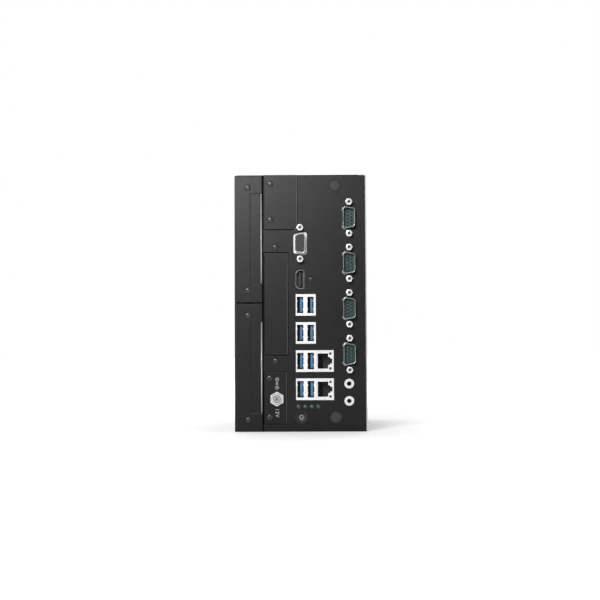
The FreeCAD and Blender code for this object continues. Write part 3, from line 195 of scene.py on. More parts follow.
def plated(name, colour, rough, metal=0.6):
    """Bright plating, a little uneven."""
    shade = Shade(name, colour, rough, metal)
    shade.vary(shade.noise(0.004, detail=3.0), by=0.05)
    shade.polish(shade.noise(0.0012, detail=3.0), by=0.05)
    shade.bump(shade.noise(0.0008), depth=0.000006)
    return shade.material


def moulded(name, colour, rough, grain=0.0004, depth=0.00001, **sockets):
    """Moulded plastic or rubber with a fine spark-eroded grain."""
    shade = Shade(name, colour, rough, **sockets)
    shade.vary(shade.noise(0.006, detail=3.0), by=0.08)
    shade.polish(shade.noise(0.002), by=0.04)
    shade.bump(shade.noise(grain), depth)
    return shade.material


def circuit_board(name, mask, rough, track):
    """Solder mask over a faint weave and copper tracks."""
    shade = Shade(name, mask, rough)
    brick = shade.node("TexBrick", Scale=240, Color1=(0.010, 0.085, 0.038, 1),
                       Color2=(0.014, 0.115, 0.052, 1), Mortar=(*track, 1), Mortar_Size=0.03)
    shade.links.new(shade.place, brick.inputs["Vector"])
    shade.links.new(brick.outputs["Color"], shade.shader.inputs["Base Color"])
    shade.bump(shade.noise(0.0005), depth=0.00001)
    return shade.material


LOOKS = {
    "black_coat": (powder_coat, dict(colour=(0.0040, 0.0044, 0.0048), rough=0.33)),
    "sink_metal": (drawn_metal, dict(colour=(0.50, 0.51, 0.52), rough=0.42, along="Z",
                                     grain=0.0005, metal=0.35)),
    "nickel": (plated, dict(colour=(0.92, 0.92, 0.91), rough=0.22, metal=0.45)),
    "screw_black": (plated, dict(colour=(0.075, 0.077, 0.080), rough=0.30, metal=0.7)),
    "zinc": (plated, dict(colour=(0.66, 0.67, 0.68), rough=0.32)),
    "port_steel": (drawn_metal, dict(colour=(0.94, 0.94, 0.95), rough=0.28, along="Y", metal=0.4)),
    "teal_plastic": (moulded, dict(colour=(0.007, 0.040, 0.036), rough=0.40)),
    "black_plastic": (moulded, dict(colour=(0.007, 0.007, 0.008), rough=0.40)),
    "blue_plastic": (moulded, dict(colour=(0.085, 0.21, 0.38), rough=0.26)),
    "contact_gold": (plated, dict(colour=(0.62, 0.50, 0.28), rough=0.26)),
    "lamp_plastic": (moulded, dict(colour=(0.045, 0.085, 0.070), rough=0.22)),
    "plug_rubber": (moulded, dict(colour=(0.020, 0.024, 0.023), rough=0.62, grain=0.0006,
                                  depth=0.00003)),
    "board_green": (circuit_board, dict(mask=(0.012, 0.10, 0.045), rough=0.35,
                                        track=(0.030, 0.19, 0.085))),
    "chip_black": (moulded, dict(colour=(0.02, 0.02, 0.021), rough=0.5)),
    "tray_steel": (drawn_metal, dict(colour=(0.62, 0.63, 0.64), rough=0.34, along="Y")),
    "block_metal": (drawn_metal, dict(colour=(0.78, 0.78, 0.79), rough=0.30, along="Y")),
    "nickel_dark": (plated, dict(colour=(0.42, 0.44, 0.44), rough=0.28)),
    # darker copy of the nickel: painted shade inside the jackscrews' bores
    "bore": (plated, dict(colour=(0.50, 0.50, 0.50), rough=0.40)),
    "shaded_gold": (plated, dict(colour=(0.10, 0.085, 0.055), rough=0.40)),
    "pin_plate": (plated, dict(colour=(0.22, 0.30, 0.26), rough=0.30)),
    "lan_lamp": (moulded, dict(colour=(0.055, 0.062, 0.058), rough=0.18)),
    # pale edge: the painted highlight on the drive covers' lips, and the pale corners of the serial
    # ports' windows
    "bare_edge": (plated, dict(colour=(0.62, 0.63, 0.64), rough=0.35, metal=0.4)),
    # painted highlight along the plates' right-hand edges
    "worn_edge": (plated, dict(colour=WORN_AND_HIGHLIGHT, rough=0.40, metal=0.2)),
    # painted shade in the gaps round the covers and plates
    "gasket": (moulded, dict(colour=(0.0016, 0.0016, 0.0017), rough=0.9, Specular_IOR_Level=0.05)),
    "white_print": (moulded, dict(colour=(0.50, 0.50, 0.50), rough=0.55)),
}
MATERIALS = {name: make(name, **look) for name, (make, look) in LOOKS.items()}

# The record's slot for each coat that the record doesn't name.
for part in frame["record"]["subparts"]:
    for slot in frame["nodes"][part["node"]].material_slots:
        slot.material = MATERIALS[part["material_slot"]]


# ---------------------------------------------------------------- building meshes

ARC_STEPS = 6                           # in each rounded corner
SHARP = math.radians(32)                # edges that turn by more than this stay sharp
SAME_SPOT = 1e-7                        # points closer than this are one


def islands(name):
    """The separate solids of a CAD node, each as its lowest and highest corner."""
    mesh = frame["nodes"][name].data
    spots = [tuple(round(c, 6) for c in vertex.co) for vertex in mesh.vertices]
    owner = {spot: spot for spot in spots}

    def root(spot):
        while owner[spot] != spot:
            spot = owner[spot]
        return spot

    for face in mesh.polygons:
        first = root(spots[face.vertices[0]])
        for corner in face.vertices[1:]:
            owner[root(spots[corner])] = first
    groups = {}
    for spot in owner:
        groups.setdefault(root(spot), []).append(spot)
    boxes = map(extent, groups.values())
    return sorted(boxes, key=lambda box: (round(box[0].z, 4), round(box[0].x, 4)))


def extent(spots):
    """The lowest and highest corner of the box round some spots."""
    return Vector(map(min, zip(*spots))), Vector(map(max, zip(*spots)))


def face_box(node):
    """The lowest and highest corner of a node's foremost face."""
    corners = [vertex.co for vertex in frame["nodes"][node].data.vertices]
    foremost = min(corner.y for corner in corners)
    return extent([corner for corner in corners if corner.y < foremost + 0.01 * MM])


def middle(box):
    return [(low + high) / 2 for low, high in zip(*box)]


def rectangle(x0, z0, x1, z1):
    return [(x0, z0), (x1, z0), (x1, z1), (x0, z1)]


def circle(x, z, radius, sides=28):
    turns = [2 * math.pi * step / sides for step in range(sides)]
    return [(x + radius * math.cos(turn), z + radius * math.sin(turn)) for turn in turns]


def rounded(corners, radius, steps=ARC_STEPS):
    """An outline through the corners with each one rounded by an arc."""
    points = []
    for step, corner in enumerate(corners):
        here = Vector(corner)
        before = (Vector(corners[step - 1]) - here).normalized()
        after = (Vector(corners[(step + 1) % len(corners)]) - here).normalized()
        half = before.angle(after) / 2
        centre = here + (before + after).normalized() * (radius / math.sin(half))
        first = here + before * (radius / math.tan(half)) - centre
        last = here + after * (radius / math.tan(half)) - centre
        turn = first.angle_signed(last)
        for part in range(steps + 1):
            spoke = first.copy()
            spoke.rotate(Matrix.Rotation(-turn * part / steps, 2))
            points.append(tuple(centre + spoke))
    return points


def behind(y, rows):
    """A profile in metres from rows of (radius or inset, depth behind y) in millimetres."""
    return [(across * MM, y + depth * MM) for across, depth in rows]


class Mould:
    """Gathers the faces of one piece. Lengths are in metres; turned and extruded forms lie along Y.
    New faces get the coat whose number is in `coat`."""

    def __init__(self, mesh=None):
        self.bm = bmesh.new()
        self.coat = 0
        if mesh is not None:
            self.bm.from_mesh(mesh)

    def loop(self, points):
        return [self.bm.verts.new(point) for point in points]

    def ring(self, outline, y):
        return self.loop([(x, y, z) for x, z in outline])

    def face(self, corners):
        face = self.bm.faces.new(corners)
        face.material_index = self.coat

    def band(self, first, second):
        """Faces between two open rows of as many points."""
        for step in range(len(first) - 1):
            self.face((first[step], first[step + 1], second[step + 1], second[step]))

    def join(self, first, second):
        """Walls between two rings of as many points."""
        self.band(first + first[:1], second + second[:1])

    def stack(self, rings, hollow=False):
        """A closed skin over a row of rings: capped at both ends, or led back to the first ring."""
        for first, second in zip(rings, rings[1:]):
            self.join(first, second)
        if hollow:
            self.join(rings[-1], rings[0])
        else:
            self.face(rings[0][::-1])
            self.face(rings[-1])

    def sleeve(self, outline, profile):
        """A hollow skin; outline(inset) draws a ring, and profile is a list of (inset, y)."""
        self.stack([self.ring(outline(inset), y) for inset, y in profile], hollow=True)

    def turned(self, x, z, profile, sides=28, hollow=False):
        """A turned form round the line through x, z; profile is a list of (radius, y)."""
        self.stack([self.ring(circle(x, z, radius, sides), y) for radius, y in profile], hollow)

    def prism(self, outline, near, far):
        self.stack([self.ring(outline, near), self.ring(outline, far)])

    def block(self, low, high):
        self.prism(rectangle(low[0], low[2], high[0], high[2]), low[1], high[1])

    def pierced(self, outline, holes, near, far):
        """A plate between two depths, with its holes left open."""
        layers = []
        for y in (near, far):
            loops = [self.ring(points, y) for points in (outline, *holes)]
            edges = [self.bm.edges.new((loop[step - 1], loop[step]))
                     for loop in loops for step in range(len(loop))]
            filled = bmesh.ops.triangle_fill(self.bm, use_beauty=True, edges=edges)
            for item in filled["geom"]:
                if isinstance(item, bmesh.types.BMFace):
                    item.material_index = self.coat
            layers.append(loops)
        for first, second in zip(*layers):
            self.join(first, second)

    def stamp(self, mesh, matrix):
        """Adds a copy of a mesh, with its own coats."""
        first = len(self.bm.verts)
        self.bm.from_mesh(mesh)
        self.bm.verts.ensure_lookup_table()
        bmesh.ops.transform(self.bm, matrix=matrix, verts=self.bm.verts[first:])

    def mesh(self, name, coats=()):
        """The finished mesh, smooth except at its real edges."""
        bmesh.ops.recalc_face_normals(self.bm, faces=self.bm.faces)
        mesh = bpy.data.meshes.new(name)
        self.bm.to_mesh(mesh)
        self.bm.free()
        for coat in coats:
            mesh.materials.append(MATERIALS[coat])
        for face in mesh.polygons:
            face.use_smooth = True
        mesh.set_sharp_from_angle(angle=SHARP)
        return mesh

    def piece(self, name, *coats, body="housing", replaces=(), sheet=0.0):
        """Puts the piece in the scene, with its coats as its materials in order. With `sheet`, its
        open faces become a sheet of that thickness."""
        if sheet:
            bmesh.ops.remove_doubles(self.bm, verts=self.bm.verts, dist=SAME_SPOT)
        piece = bpy.data.objects.new(name, self.mesh(name, coats))
        scene.collection.objects.link(piece)
        if sheet:
            thicken = piece.modifiers.new("sheet", "SOLIDIFY")
            thicken.thickness = sheet
            thicken.offset = 0
        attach(piece, body)
        if replaces:
            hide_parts(*replaces)


def carved(base, cutter, operation="DIFFERENCE"):
    """The mesh of one Mould cut by, or kept within, another."""
    objects = []
    for number, mould in enumerate((base, cutter)):
        name = f"carving_{number}"
        objects.append(bpy.data.objects.new(name, mould.mesh(name)))
        scene.collection.objects.link(objects[-1])
    carving = objects[0].modifiers.new("carve", "BOOLEAN")
    carving.operation = operation
    carving.solver = "EXACT"
    carving.object = objects[1]
    shown = objects[0].evaluated_get(bpy.context.evaluated_depsgraph_get())
    result = bpy.data.meshes.new_from_object(shown)
    for item in objects:
        bpy.data.objects.remove(item)
    return result


# ---------------------------------------------------------------- screws

# The head and its recess are drawn 1 unit in radius, and scaled to each screw.
HEAD_DOME = 0.52
HEAD_PROFILE = ((0.45, -HEAD_DOME), (0.70, -0.49), (0.88, -0.38), (0.97, -0.22), (1.0, -0.05),
                (1.0, 0.0))
RECESS = ((0.62, 0.17, -0.60), (0.30, 0.10, -0.08))     # reach, half width and y of the bars' ends
SHAFT = 0.54                                            # the shaft's radius, as a part of the head's
HEAD_HIGH = 1.3 * MM
FIRST_TURNS = {"drive_cover_screws": 20, "plate_screws": 35, "video_lock_screw": 10,
               "rear_panel_screws": 50}                 # degrees
NEXT_TURN = 47                                          # degrees from one screw to the next


def cross_head():
    """A pan-head screw's head about the origin, 1 unit in radius, bearing on y = 0, facing -Y."""
    head = Mould()
    head.turned(0, 0, HEAD_PROFILE, sides=36)
    for turn in (0, math.pi / 2):
        along = Vector((math.cos(turn), math.sin(turn)))
        aside = Vector((-along.y, along.x))
        bar = Mould()
        bar.stack([bar.ring([along * reach + aside * width, -along * reach + aside * width,
                             -along * reach - aside * width, along * reach - aside * width], y)
                   for reach, width, y in RECESS])
        head = Mould(carved(head, bar))
    return head.mesh("cross_head")


def make_screws():
    """Cross-recessed screws in place of the plain ones, each turned as it happened to be tightened."""
    head = cross_head()
    for node, first_turn in FIRST_TURNS.items():
        screws = Mould()
        facing = 1 if node == "rear_panel_screws" else -1
        for number, box in enumerate(islands(node)):
            low, high = box
            radius = (high.x - low.x) / 2
            tip, end = (high.y, low.y) if facing > 0 else (low.y, high.y)
            seat = tip - facing * HEAD_HIGH
            x, _, z = middle(box)
            place = (Matrix.Translation((x, seat, z))
                     @ Matrix.Rotation(math.radians(first_turn + NEXT_TURN * number), 4, "Y")
                     @ Matrix.Diagonal((radius, -facing * HEAD_HIGH / HEAD_DOME, radius, 1)))
            screws.stamp(head, place)
            screws.turned(x, z, [(radius * SHAFT, seat), (radius * SHAFT, end)], sides=16)
        screws.piece(f"{node}_detail", "screw_black", replaces=[node])


def make_jackscrews():
    """Hexagonal jackscrews with chamfered corners and a threaded bore, whose faces get a darker copy of
    the nickel as painted shade.
    """
    across, length, bore, deep = 4.8 * MM, 5.0 * MM, 1.42 * MM, 4.4 * MM
    pitch, ridge = 0.44 * MM, 0.27 * MM
    corner = across / math.sqrt(3)
    body, chamfer, thread = Mould(), Mould(), Mould()
    body.prism(circle(0, 0, corner, 6), 0, length)
    chamfer.turned(0, 0, [(across * 0.47, 0), (corner * 1.02, 0.35 * MM), (corner * 1.02, length)],
                   sides=48)
    thread.turned(0, 0, [(bore - (ridge if step % 2 else 0), -0.01 * MM + pitch / 2 * step)
                         for step in range(int(deep / pitch * 2))], sides=24)
    mesh = carved(Mould(carved(body, chamfer, "INTERSECT")), thread)
    # faces inside the bore take the second coat, a darker nickel painted as shade
    for face in mesh.polygons:
        spots = [mesh.vertices[corner].co for corner in face.vertices]
        face.material_index = int(max(math.hypot(spot.x, spot.z) for spot in spots) < bore * 1.13)
    screws = Mould()
    screws.coat = 1
    for box in islands("jackscrews"):
        x, _, z = middle(box)
        screws.stamp(mesh, Matrix.Translation((x, box[0].y, z)))
        screws.turned(x, z, [(bore, box[0].y + length), (bore, box[1].y)], sides=16)
    screws.piece("jackscrews_detail", "nickel", "bore", replaces=["jackscrews"])


make_screws()
make_jackscrews()


# ---------------------------------------------------------------- D connectors

D_SLANT = math.tan(math.radians(10))
D_CORNER = 2.4 * MM
SHELL_WALL = 0.5 * MM
SHELL_RIM = ((0, 0.25), (0.10, 0.06), (0.22, 0), (0.30, 0), (0.42, 0.06))   # inset and depth, in mm
SHELL_BEND = 0.25 * MM                  # how far behind the rim the shell is straight again
END_DRAW = 1.2                          # an outline draws in this much more at its ends
FLANGE_THICK, FLANGE_CORNER = 0.7 * MM, 0.8 * MM
COM_SIZE = (9.5 * MM, 17.9 * MM)        # across and along, outside the shell
VGA_SIZE = (8.3 * MM, 16.5 * MM)
INSERT_INSET = SHELL_WALL + 0.12 * MM
INSERT_BACK = 11.0 * MM                 # the narrow part behind the insert's full outline


def make_shell(node, size, wide_side):
    """A drawn steel shell with a rolled rim, and its flange behind the panel. Gives back its middle,
    and the function that draws its outline with some inset."""
    low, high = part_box(node)
    x, _, z = middle((low, high))

    def outline(inset):
        wide, tall = size[0] - inset * 2, size[1] - inset * 2 * END_DRAW
        short = tall / 2 - wide * D_SLANT
        long_x, short_x = x + wide / 2 * wide_side, x - wide / 2 * wide_side
        return rounded([(long_x, z - tall / 2), (long_x, z + tall / 2), (short_x, z + short),
                        (short_x, z - short)], D_CORNER - inset)

    seat = high[1] - FLANGE_THICK
    shell = Mould()
    shell.sleeve(outline, [(0, seat), *behind(low[1], SHELL_RIM), (SHELL_WALL, low[1] + SHELL_BEND),
                           (SHELL_WALL, high[1])])
    flange = rounded(rectangle(low[0], low[2], high[0], high[2]), FLANGE_CORNER, steps=3)
    shell.pierced(flange, [outline(SHELL_WALL)], seat, high[1])
    shell.piece(f"{node}_detail", "nickel_dark" if wide_side < 0 else "nickel", replaces=[node])
    return x, z, outline


def make_com_port(number):
    """A serial port's drawn shell, its plastic insert with a collar round each pin, and pale strips
    at two corners of its window."""
    _, z, outline = make_shell(f"com_shell_{number}", COM_SIZE, -1)
    low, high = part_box(f"com_insert_{number}")
    insert = Mould()
    face = low[1]
    neck = high[1] - INSERT_BACK
    foot = 3.0 * MM
    insert.prism(outline(INSERT_INSET), face, neck)
    insert.block((low[0], neck, low[2] + foot), (high[0], high[1], high[2] - foot))
    for box in islands("com_pins"):
        pin_x, _, pin_z = middle(box)
        if abs(pin_z - z) < COM_SIZE[1] / 2:
            insert.turned(pin_x, pin_z, behind(face, [(0.72, -0.18), (0.92, 0.1)]), sides=20)
    insert.piece(f"com_insert_{number}_detail", "teal_plastic", replaces=[f"com_insert_{number}"])

    corners = Mould()
    arc = ARC_STEPS + 1
    outer, inner = outline(-0.75 * MM), outline(-0.35 * MM)
    for start in (0, arc):
        corners.band(*(corners.ring(ring[start:start + arc], front - 0.03 * MM)
                       for ring in (outer, inner)))
    corners.piece(f"com_window_{number}", "bare_edge", sheet=0.03 * MM)


def make_pins():
    """Round pins with domed tips."""
    pins = Mould()
    for box in islands("com_pins"):
        x, _, z = middle(box)
        tip, root = box[0].y, box[1].y
        radius = (box[1].x - box[0].x) / 2
        pins.turned(x, z, [(radius * 0.3, tip), (radius * 0.75, tip + 0.12 * MM),
                           (radius, tip + 0.4 * MM), (radius, root)], sides=16)
    pins.piece("com_pins_detail", "pin_plate", replaces=["com_pins"])


def make_vga_port():
    """The video connector's shell, and its insert with three rows of five lined sockets."""
    x, z, outline = make_shell("vga_shell", VGA_SIZE, 1)
    low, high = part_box("vga_insert")
    face, neck = low[1], high[1] - INSERT_BACK
    row, pitch, deep = 1.98 * MM, 2.29 * MM, 3.0 * MM
    socket, lined, narrow = 0.5, 0.47, 0.33     # radii in mm: the hole, its lining, its bore
    places = [(x + row * side, z + pitch * (step - 2 + shift))
              for side, shift in ((-1, 0.25), (0, -0.25), (1, 0.25)) for step in range(5)]
    insert = Mould()
    shape = outline(INSERT_INSET)
    insert.pierced(shape, [circle(px, pz, socket * MM, 16) for px, pz in places], face, face + deep)
    insert.prism(shape, face + deep - 0.05 * MM, neck)
    insert.block((low[0], neck, low[2]), high)
    insert.coat = 1
    for px, pz in places:
        shaded_lining = behind(face, [(lined, 2.8), (lined, 0.35), (narrow, 0.35), (narrow, 2.8)])
        insert.turned(px, pz, shaded_lining, sides=16, hollow=True)
    insert.piece("vga_insert_detail", "black_plastic", "shaded_gold", replaces=["vga_insert"])


for port in range(1, 5):
    make_com_port(port)
make_pins()
make_vga_port()


# ---------------------------------------------------------------- USB and network ports

SHADE_LINER_WALL = 0.2                                # mm
USB_LEFT, USB_RIGHT = 2.4 * MM, 2.7 * MM        # from the tongue's left face to the opening's sides
USB_HALF, USB_DEEP = 6.5 * MM, 12.0 * MM
USB_LEAF = ((0, 0.15), (0.42, 2.2), (0.46, 2.8), (SHADE_LINER_WALL, 6.0))     # reach and depth, in mm
LEAF_AT, LEAF_HALF = 3.3 * MM, 0.85 * MM        # from the tongue's middle, and half the leaf's width
TONGUE_CHAMFER = 0.45 * MM
# Rows of pads as count, pitch, start, end and half width in mm; None ends near the tongue's root.
USB_PADS = ((4, 2.3, 1.2, None, 0.5), (5, 1.9, 0.5, 0.95, 0.3))

# Half the network jack's mouth, as x and the reach to either side, in mm.
LAN_MOUTH = [(x * MM, reach * MM) for x, reach in
             ((13.7, 6.0), (22.0, 6.0), (22.0, 3.1), (23.6, 3.1), (23.6, 1.9), (25.2, 1.9))]
LAN_WALL = 0.8 * MM
LAN_WIRE = ((0.25, 2.2), (0.6, 2.4), (3.3, 9.0), (3.3, 12.4))           # reach and depth, in mm
WIRES, WIRE_PITCH, WIRE_HALF, WIRE_THICK = 8, 1.02 * MM, 0.2 * MM, 0.22 * MM
SHIELD_THICK = 0.12 * MM
LAMP_LIP = 0.3 * MM


def make_usb_ports():
    """In each USB opening: a dark liner painted as the shade inside it, four contact springs and a blue
    tongue with gold pads.
    """
    shade_liners, springs, tongues = Mould(), Mould(), Mould()
    stack_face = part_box("usb_stack_1")[0][1]
    wall = SHADE_LINER_WALL * MM
    for low, high in islands("usb_tongues"):
        z = (low.z + high.z) / 2
        left, right, bottom, top = low.x - USB_LEFT, low.x + USB_RIGHT, z - USB_HALF, z + USB_HALF
        start, back = stack_face + 1.1 * MM, stack_face + USB_DEEP
        # the dark liner walls are painted shade
        for x0, z0, x1, z1 in ((left, bottom, left + wall, top), (right - wall, bottom, right, top),
                               (left + wall, bottom, right - wall, bottom + wall),
                               (left + wall, top - wall, right - wall, top)):
            shade_liners.block((x0, start, z0), (x1, back, z1))
        shade_liners.block((left + wall, back - wall, bottom + wall), (right - wall, back, top - wall))
        for offset in (-LEAF_AT, LEAF_AT):
            for x, way in ((left, 1), (right, -1)):
                leaf = [(x + way * out * MM, stack_face + deep * MM) for out, deep in USB_LEAF]
                springs.band(*(springs.loop([(px, py, z + offset + half) for px, py in leaf])
                               for half in (-LEAF_HALF, LEAF_HALF)))
        tongues.coat = 0
        tip = [(low.x, low.y + TONGUE_CHAMFER), (low.x + TONGUE_CHAMFER, low.y),
               (high.x - TONGUE_CHAMFER, low.y), (high.x, low.y + TONGUE_CHAMFER),
               (high.x, high.y), (low.x, high.y)]
        tongues.stack([tongues.loop([(x, y, end) for x, y in tip]) for end in (low.z, high.z)])
        tongues.coat = 1
        for count, pitch, near, far, half in USB_PADS:
            far_y = low.y + far * MM if far else high.y - 0.4 * MM
            for pad in range(count):
                mid = z + (pad - (count - 1) / 2) * pitch * MM
                tongues.block((low.x - 0.04 * MM, low.y + near * MM, mid - half * MM),
                              (low.x + 0.1 * MM, far_y, mid + half * MM))
    shade_liners.piece("usb_shade_liners", "black_plastic")
    springs.piece("usb_springs", "port_steel", sheet=0.1 * MM)
    tongues.piece("usb_tongues_detail", "blue_plastic", "contact_gold", replaces=["usb_tongues"])


def make_network_ports():
    """In each network jack: eight sprung contacts, a steel shield round the mouth, and two square
    lamps."""
    wires, shields, lamps = Mould(), Mould(), Mould()
    lamp_boxes = islands("lan_lamps")
    for number in (1, 2):
        low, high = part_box(f"lan_jack_{number}")
        z = (low[2] + high[2]) / 2
        for step in range(WIRES):
            mid = z + (step - (WIRES - 1) / 2) * WIRE_PITCH
            rings = []
            for out, deep in LAN_WIRE:
                x, y = low[0] + LAN_WALL + out * MM, low[1] + deep * MM
                over, under = x + WIRE_THICK, y - WIRE_THICK * 0.4
                rings.append(wires.loop([(x, y, mid - WIRE_HALF), (over, under, mid - WIRE_HALF),
                                         (over, under, mid + WIRE_HALF), (x, y, mid + WIRE_HALF)]))
            wires.stack(rings)
        mouth = [(x, z - reach) for x, reach in LAN_MOUTH]
        mouth += [(x, z + reach) for x, reach in LAN_MOUTH[::-1]]
        windows = [rectangle(lamp_low.x + LAMP_LIP, lamp_low.z + LAMP_LIP,
                             lamp_high.x - LAMP_LIP, lamp_high.z - LAMP_LIP)
                   for lamp_low, lamp_high in lamp_boxes if low[2] < lamp_low.z < high[2]]
        face = min(low[1], lamp_boxes[0][0].y)
        shields.pierced(rectangle(low[0], low[2], high[0], high[2]), [mouth, *windows],
                        face - SHIELD_THICK, face - 0.01 * MM)
    wires.piece("lan_contacts", "shaded_gold")
    shields.piece("lan_shields", "port_steel")
    for box in lamp_boxes:
        low, high = box
        outline = rounded(rectangle(low.x, low.z, high.x, high.z), 0.35 * MM, steps=3)
        x, _, z = middle(box)
        inner = [(x + (px - x) * 0.8, z + (pz - z) * 0.8) for px, pz in outline]
        lamps.stack([lamps.ring(inner, low.y), lamps.ring(outline, low.y + 0.25 * MM),
                     lamps.ring(outline, high.y)])
    lamps.piece("lan_lamps_detail", "lan_lamp", replaces=["lan_lamps"])


make_usb_ports()
make_network_ports()


# ---------------------------------------------------------------- digital video port

def make_video_port():
    """The digital video port's thin drawn shell, a dark lining inside it as painted shade, and the
    tongue with its contacts.
    """
    low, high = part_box("video_port_shell")
    cut, rim = 2.0 * MM, low[1]
    wall, lined = 0.42, 0.67                    # insets in mm: the shell's inside, and the painted-shade lining's

    def outline(inset):
        left, bottom, right, top = low[0] + inset, low[2] + inset, high[0] - inset, high[2] - inset
        corners = [(right, bottom), (right, top), (left + cut, top), (left, top - cut),
                   (left, bottom + cut), (left + cut, bottom)]
        return rounded(corners, 0.7 * MM - inset * 0.3, steps=4)

    shell = Mould()
    rolled = behind(rim, [(0, 0.2), (0.12, 0), (0.3, 0), (wall, 0.2), (wall, 6.0)])
    shell.sleeve(outline, [(0, high[1]), *rolled])
    shell.piece("video_port_shell_detail", "nickel_dark", replaces=["video_port_shell"])

    # painted shade: a dark sleeve inside the shell
    shaded_lining = Mould()
    shaded_lining.sleeve(outline, behind(rim, [(wall, 1.2), (lined, 1.2), (lined, 5.6), (wall, 5.6)]))
    shaded_lining.prism(outline(wall * MM), rim + 5.62 * MM, rim + 5.9 * MM)
    tongue_low, tongue_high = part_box("video_port_tongue")
    shaded_lining.block(tongue_low, tongue_high)
    shaded_lining.piece("video_port_tongue_detail", "black_plastic", replaces=["video_port_tongue"])

    pads = Mould()
    count, pitch, half = 10, 1.0 * MM, 0.25 * MM
    for step in range(count):
        z = (low[2] + high[2]) / 2 + (step - (count - 1) / 2) * pitch
        pads.block((tongue_high[0] - 0.05 * MM, tongue_low[1] + 0.4 * MM, z - half),
                   (tongue_high[0] + 0.08 * MM, tongue_low[1] + 3.0 * MM, z + half))
    pads.piece("video_port_contacts", "shaded_gold")


make_video_port()


# ---------------------------------------------------------------- painted highlights on the edges of the covers, and painted shade in their gaps

LIP = (14.4 * MM, 87.1 * MM)            # start and end of the painted highlight along each drive cover's lip, from its base
LIP_BEND = 0.75 * MM
PLATES = ("option_cover", "slot_cover", "inlet_plate")
PLATE_GAP = 0.48 * MM
PLAY = 0.02 * MM                        # between a strip and what it lies beside


def make_edge_highlights():
    """Painted highlights: a pale strip over the bend of each drive cover's folded lip, along the
    pressed recess, and a paler strip along the right-hand edge of each plate."""
    edges = Mould()
    # a pale strip on each lip's bend: painted highlight
    for node in ("drive_cover_lower", "drive_cover_upper"):
        low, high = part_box(node)
        right, face = high[0], front + 0.8 * MM
        radius = LIP_BEND + PLAY
        turns = [math.radians(15 * step) for step in range(7)]
        bend = [(right - 0.95 * MM, face - PLAY)]
        bend += [(right - LIP_BEND + radius * math.sin(turn), face + LIP_BEND - radius * math.cos(turn))
                 for turn in turns]
        edges.band(*(edges.loop([(x, y, low[2] + z) for x, y in bend]) for z in LIP))
    edges.piece("cover_lip_highlights", "bare_edge", sheet=0.05 * MM)

    # paler strips on the plates' right-hand edges: painted highlight
    rim_highlights = Mould()
    for node in PLATES:
        low, high = face_box(node)
        clip = 3.0 * MM if node == "option_cover" else 0.3 * MM
        rim_highlights.block((high.x - 0.28 * MM, low.y - 0.015 * MM, low.z + clip),
                   (high.x, low.y + 0.05 * MM, high.z - 0.3 * MM))
    rim_highlights.piece("plate_rim_highlights", "worn_edge")


def make_gap_shades():
    """Painted shade: very dark matt strips in the gaps round the covers and plates, and a dark strip
    along the top edge, standing for the shadow in these gaps.
    """
    gap_shades = Mould()
    near, far = front + 0.95 * MM, front + 1.18 * MM
    top_gap = panel_high[2]
    top = top_gap - 0.1 * MM

    def fill(x0, z0, x1, z1):
        if z0 < top:
            gap_shades.block((x0, near, z0), (x1, far, min(z1, top)))

    lower, upper = face_box("drive_cover_lower"), face_box("drive_cover_upper")
    fill(lower[1].x + PLAY, lower[0].z, panel_low[0] - PLAY, upper[1].z)
    fill(lower[0].x + 1.0 * MM, lower[1].z + PLAY, lower[1].x, upper[0].z - PLAY)
    # painted shadow of the gap along the top edge, laid just in front of the face
    gap_shades.block((lower[0].x + 0.5 * MM, front - 0.01 * MM, top_gap - 0.05 * MM),
                  (panel_high[0] - 0.5 * MM, front + 0.3 * MM, top_gap + 0.3 * MM))
    for node in PLATES:
        low, high = face_box(node)
        fill(low.x - PLATE_GAP, low.z - PLATE_GAP, high.x + PLATE_GAP, low.z - PLAY)
        fill(low.x - PLATE_GAP, high.z + PLAY, high.x + PLATE_GAP, high.z + PLATE_GAP)
        fill(low.x - PLATE_GAP, low.z, low.x - PLAY, high.z)
        fill(high.x + PLAY, low.z, high.x + PLATE_GAP, high.z)
    gap_shades.piece("gap_shade_strips", "gasket")


make_edge_highlights()
make_gap_shades()


# ---------------------------------------------------------------- power jack, lamps and button

BARREL, SOCKET, PIN = 4.0, 2.8, 1.25    # radii in mm
THREAD_PITCH, THREAD_DEEP = 0.5, 0.22   # mm
JACK_SHOULDER = 1.6                     # mm behind the nut


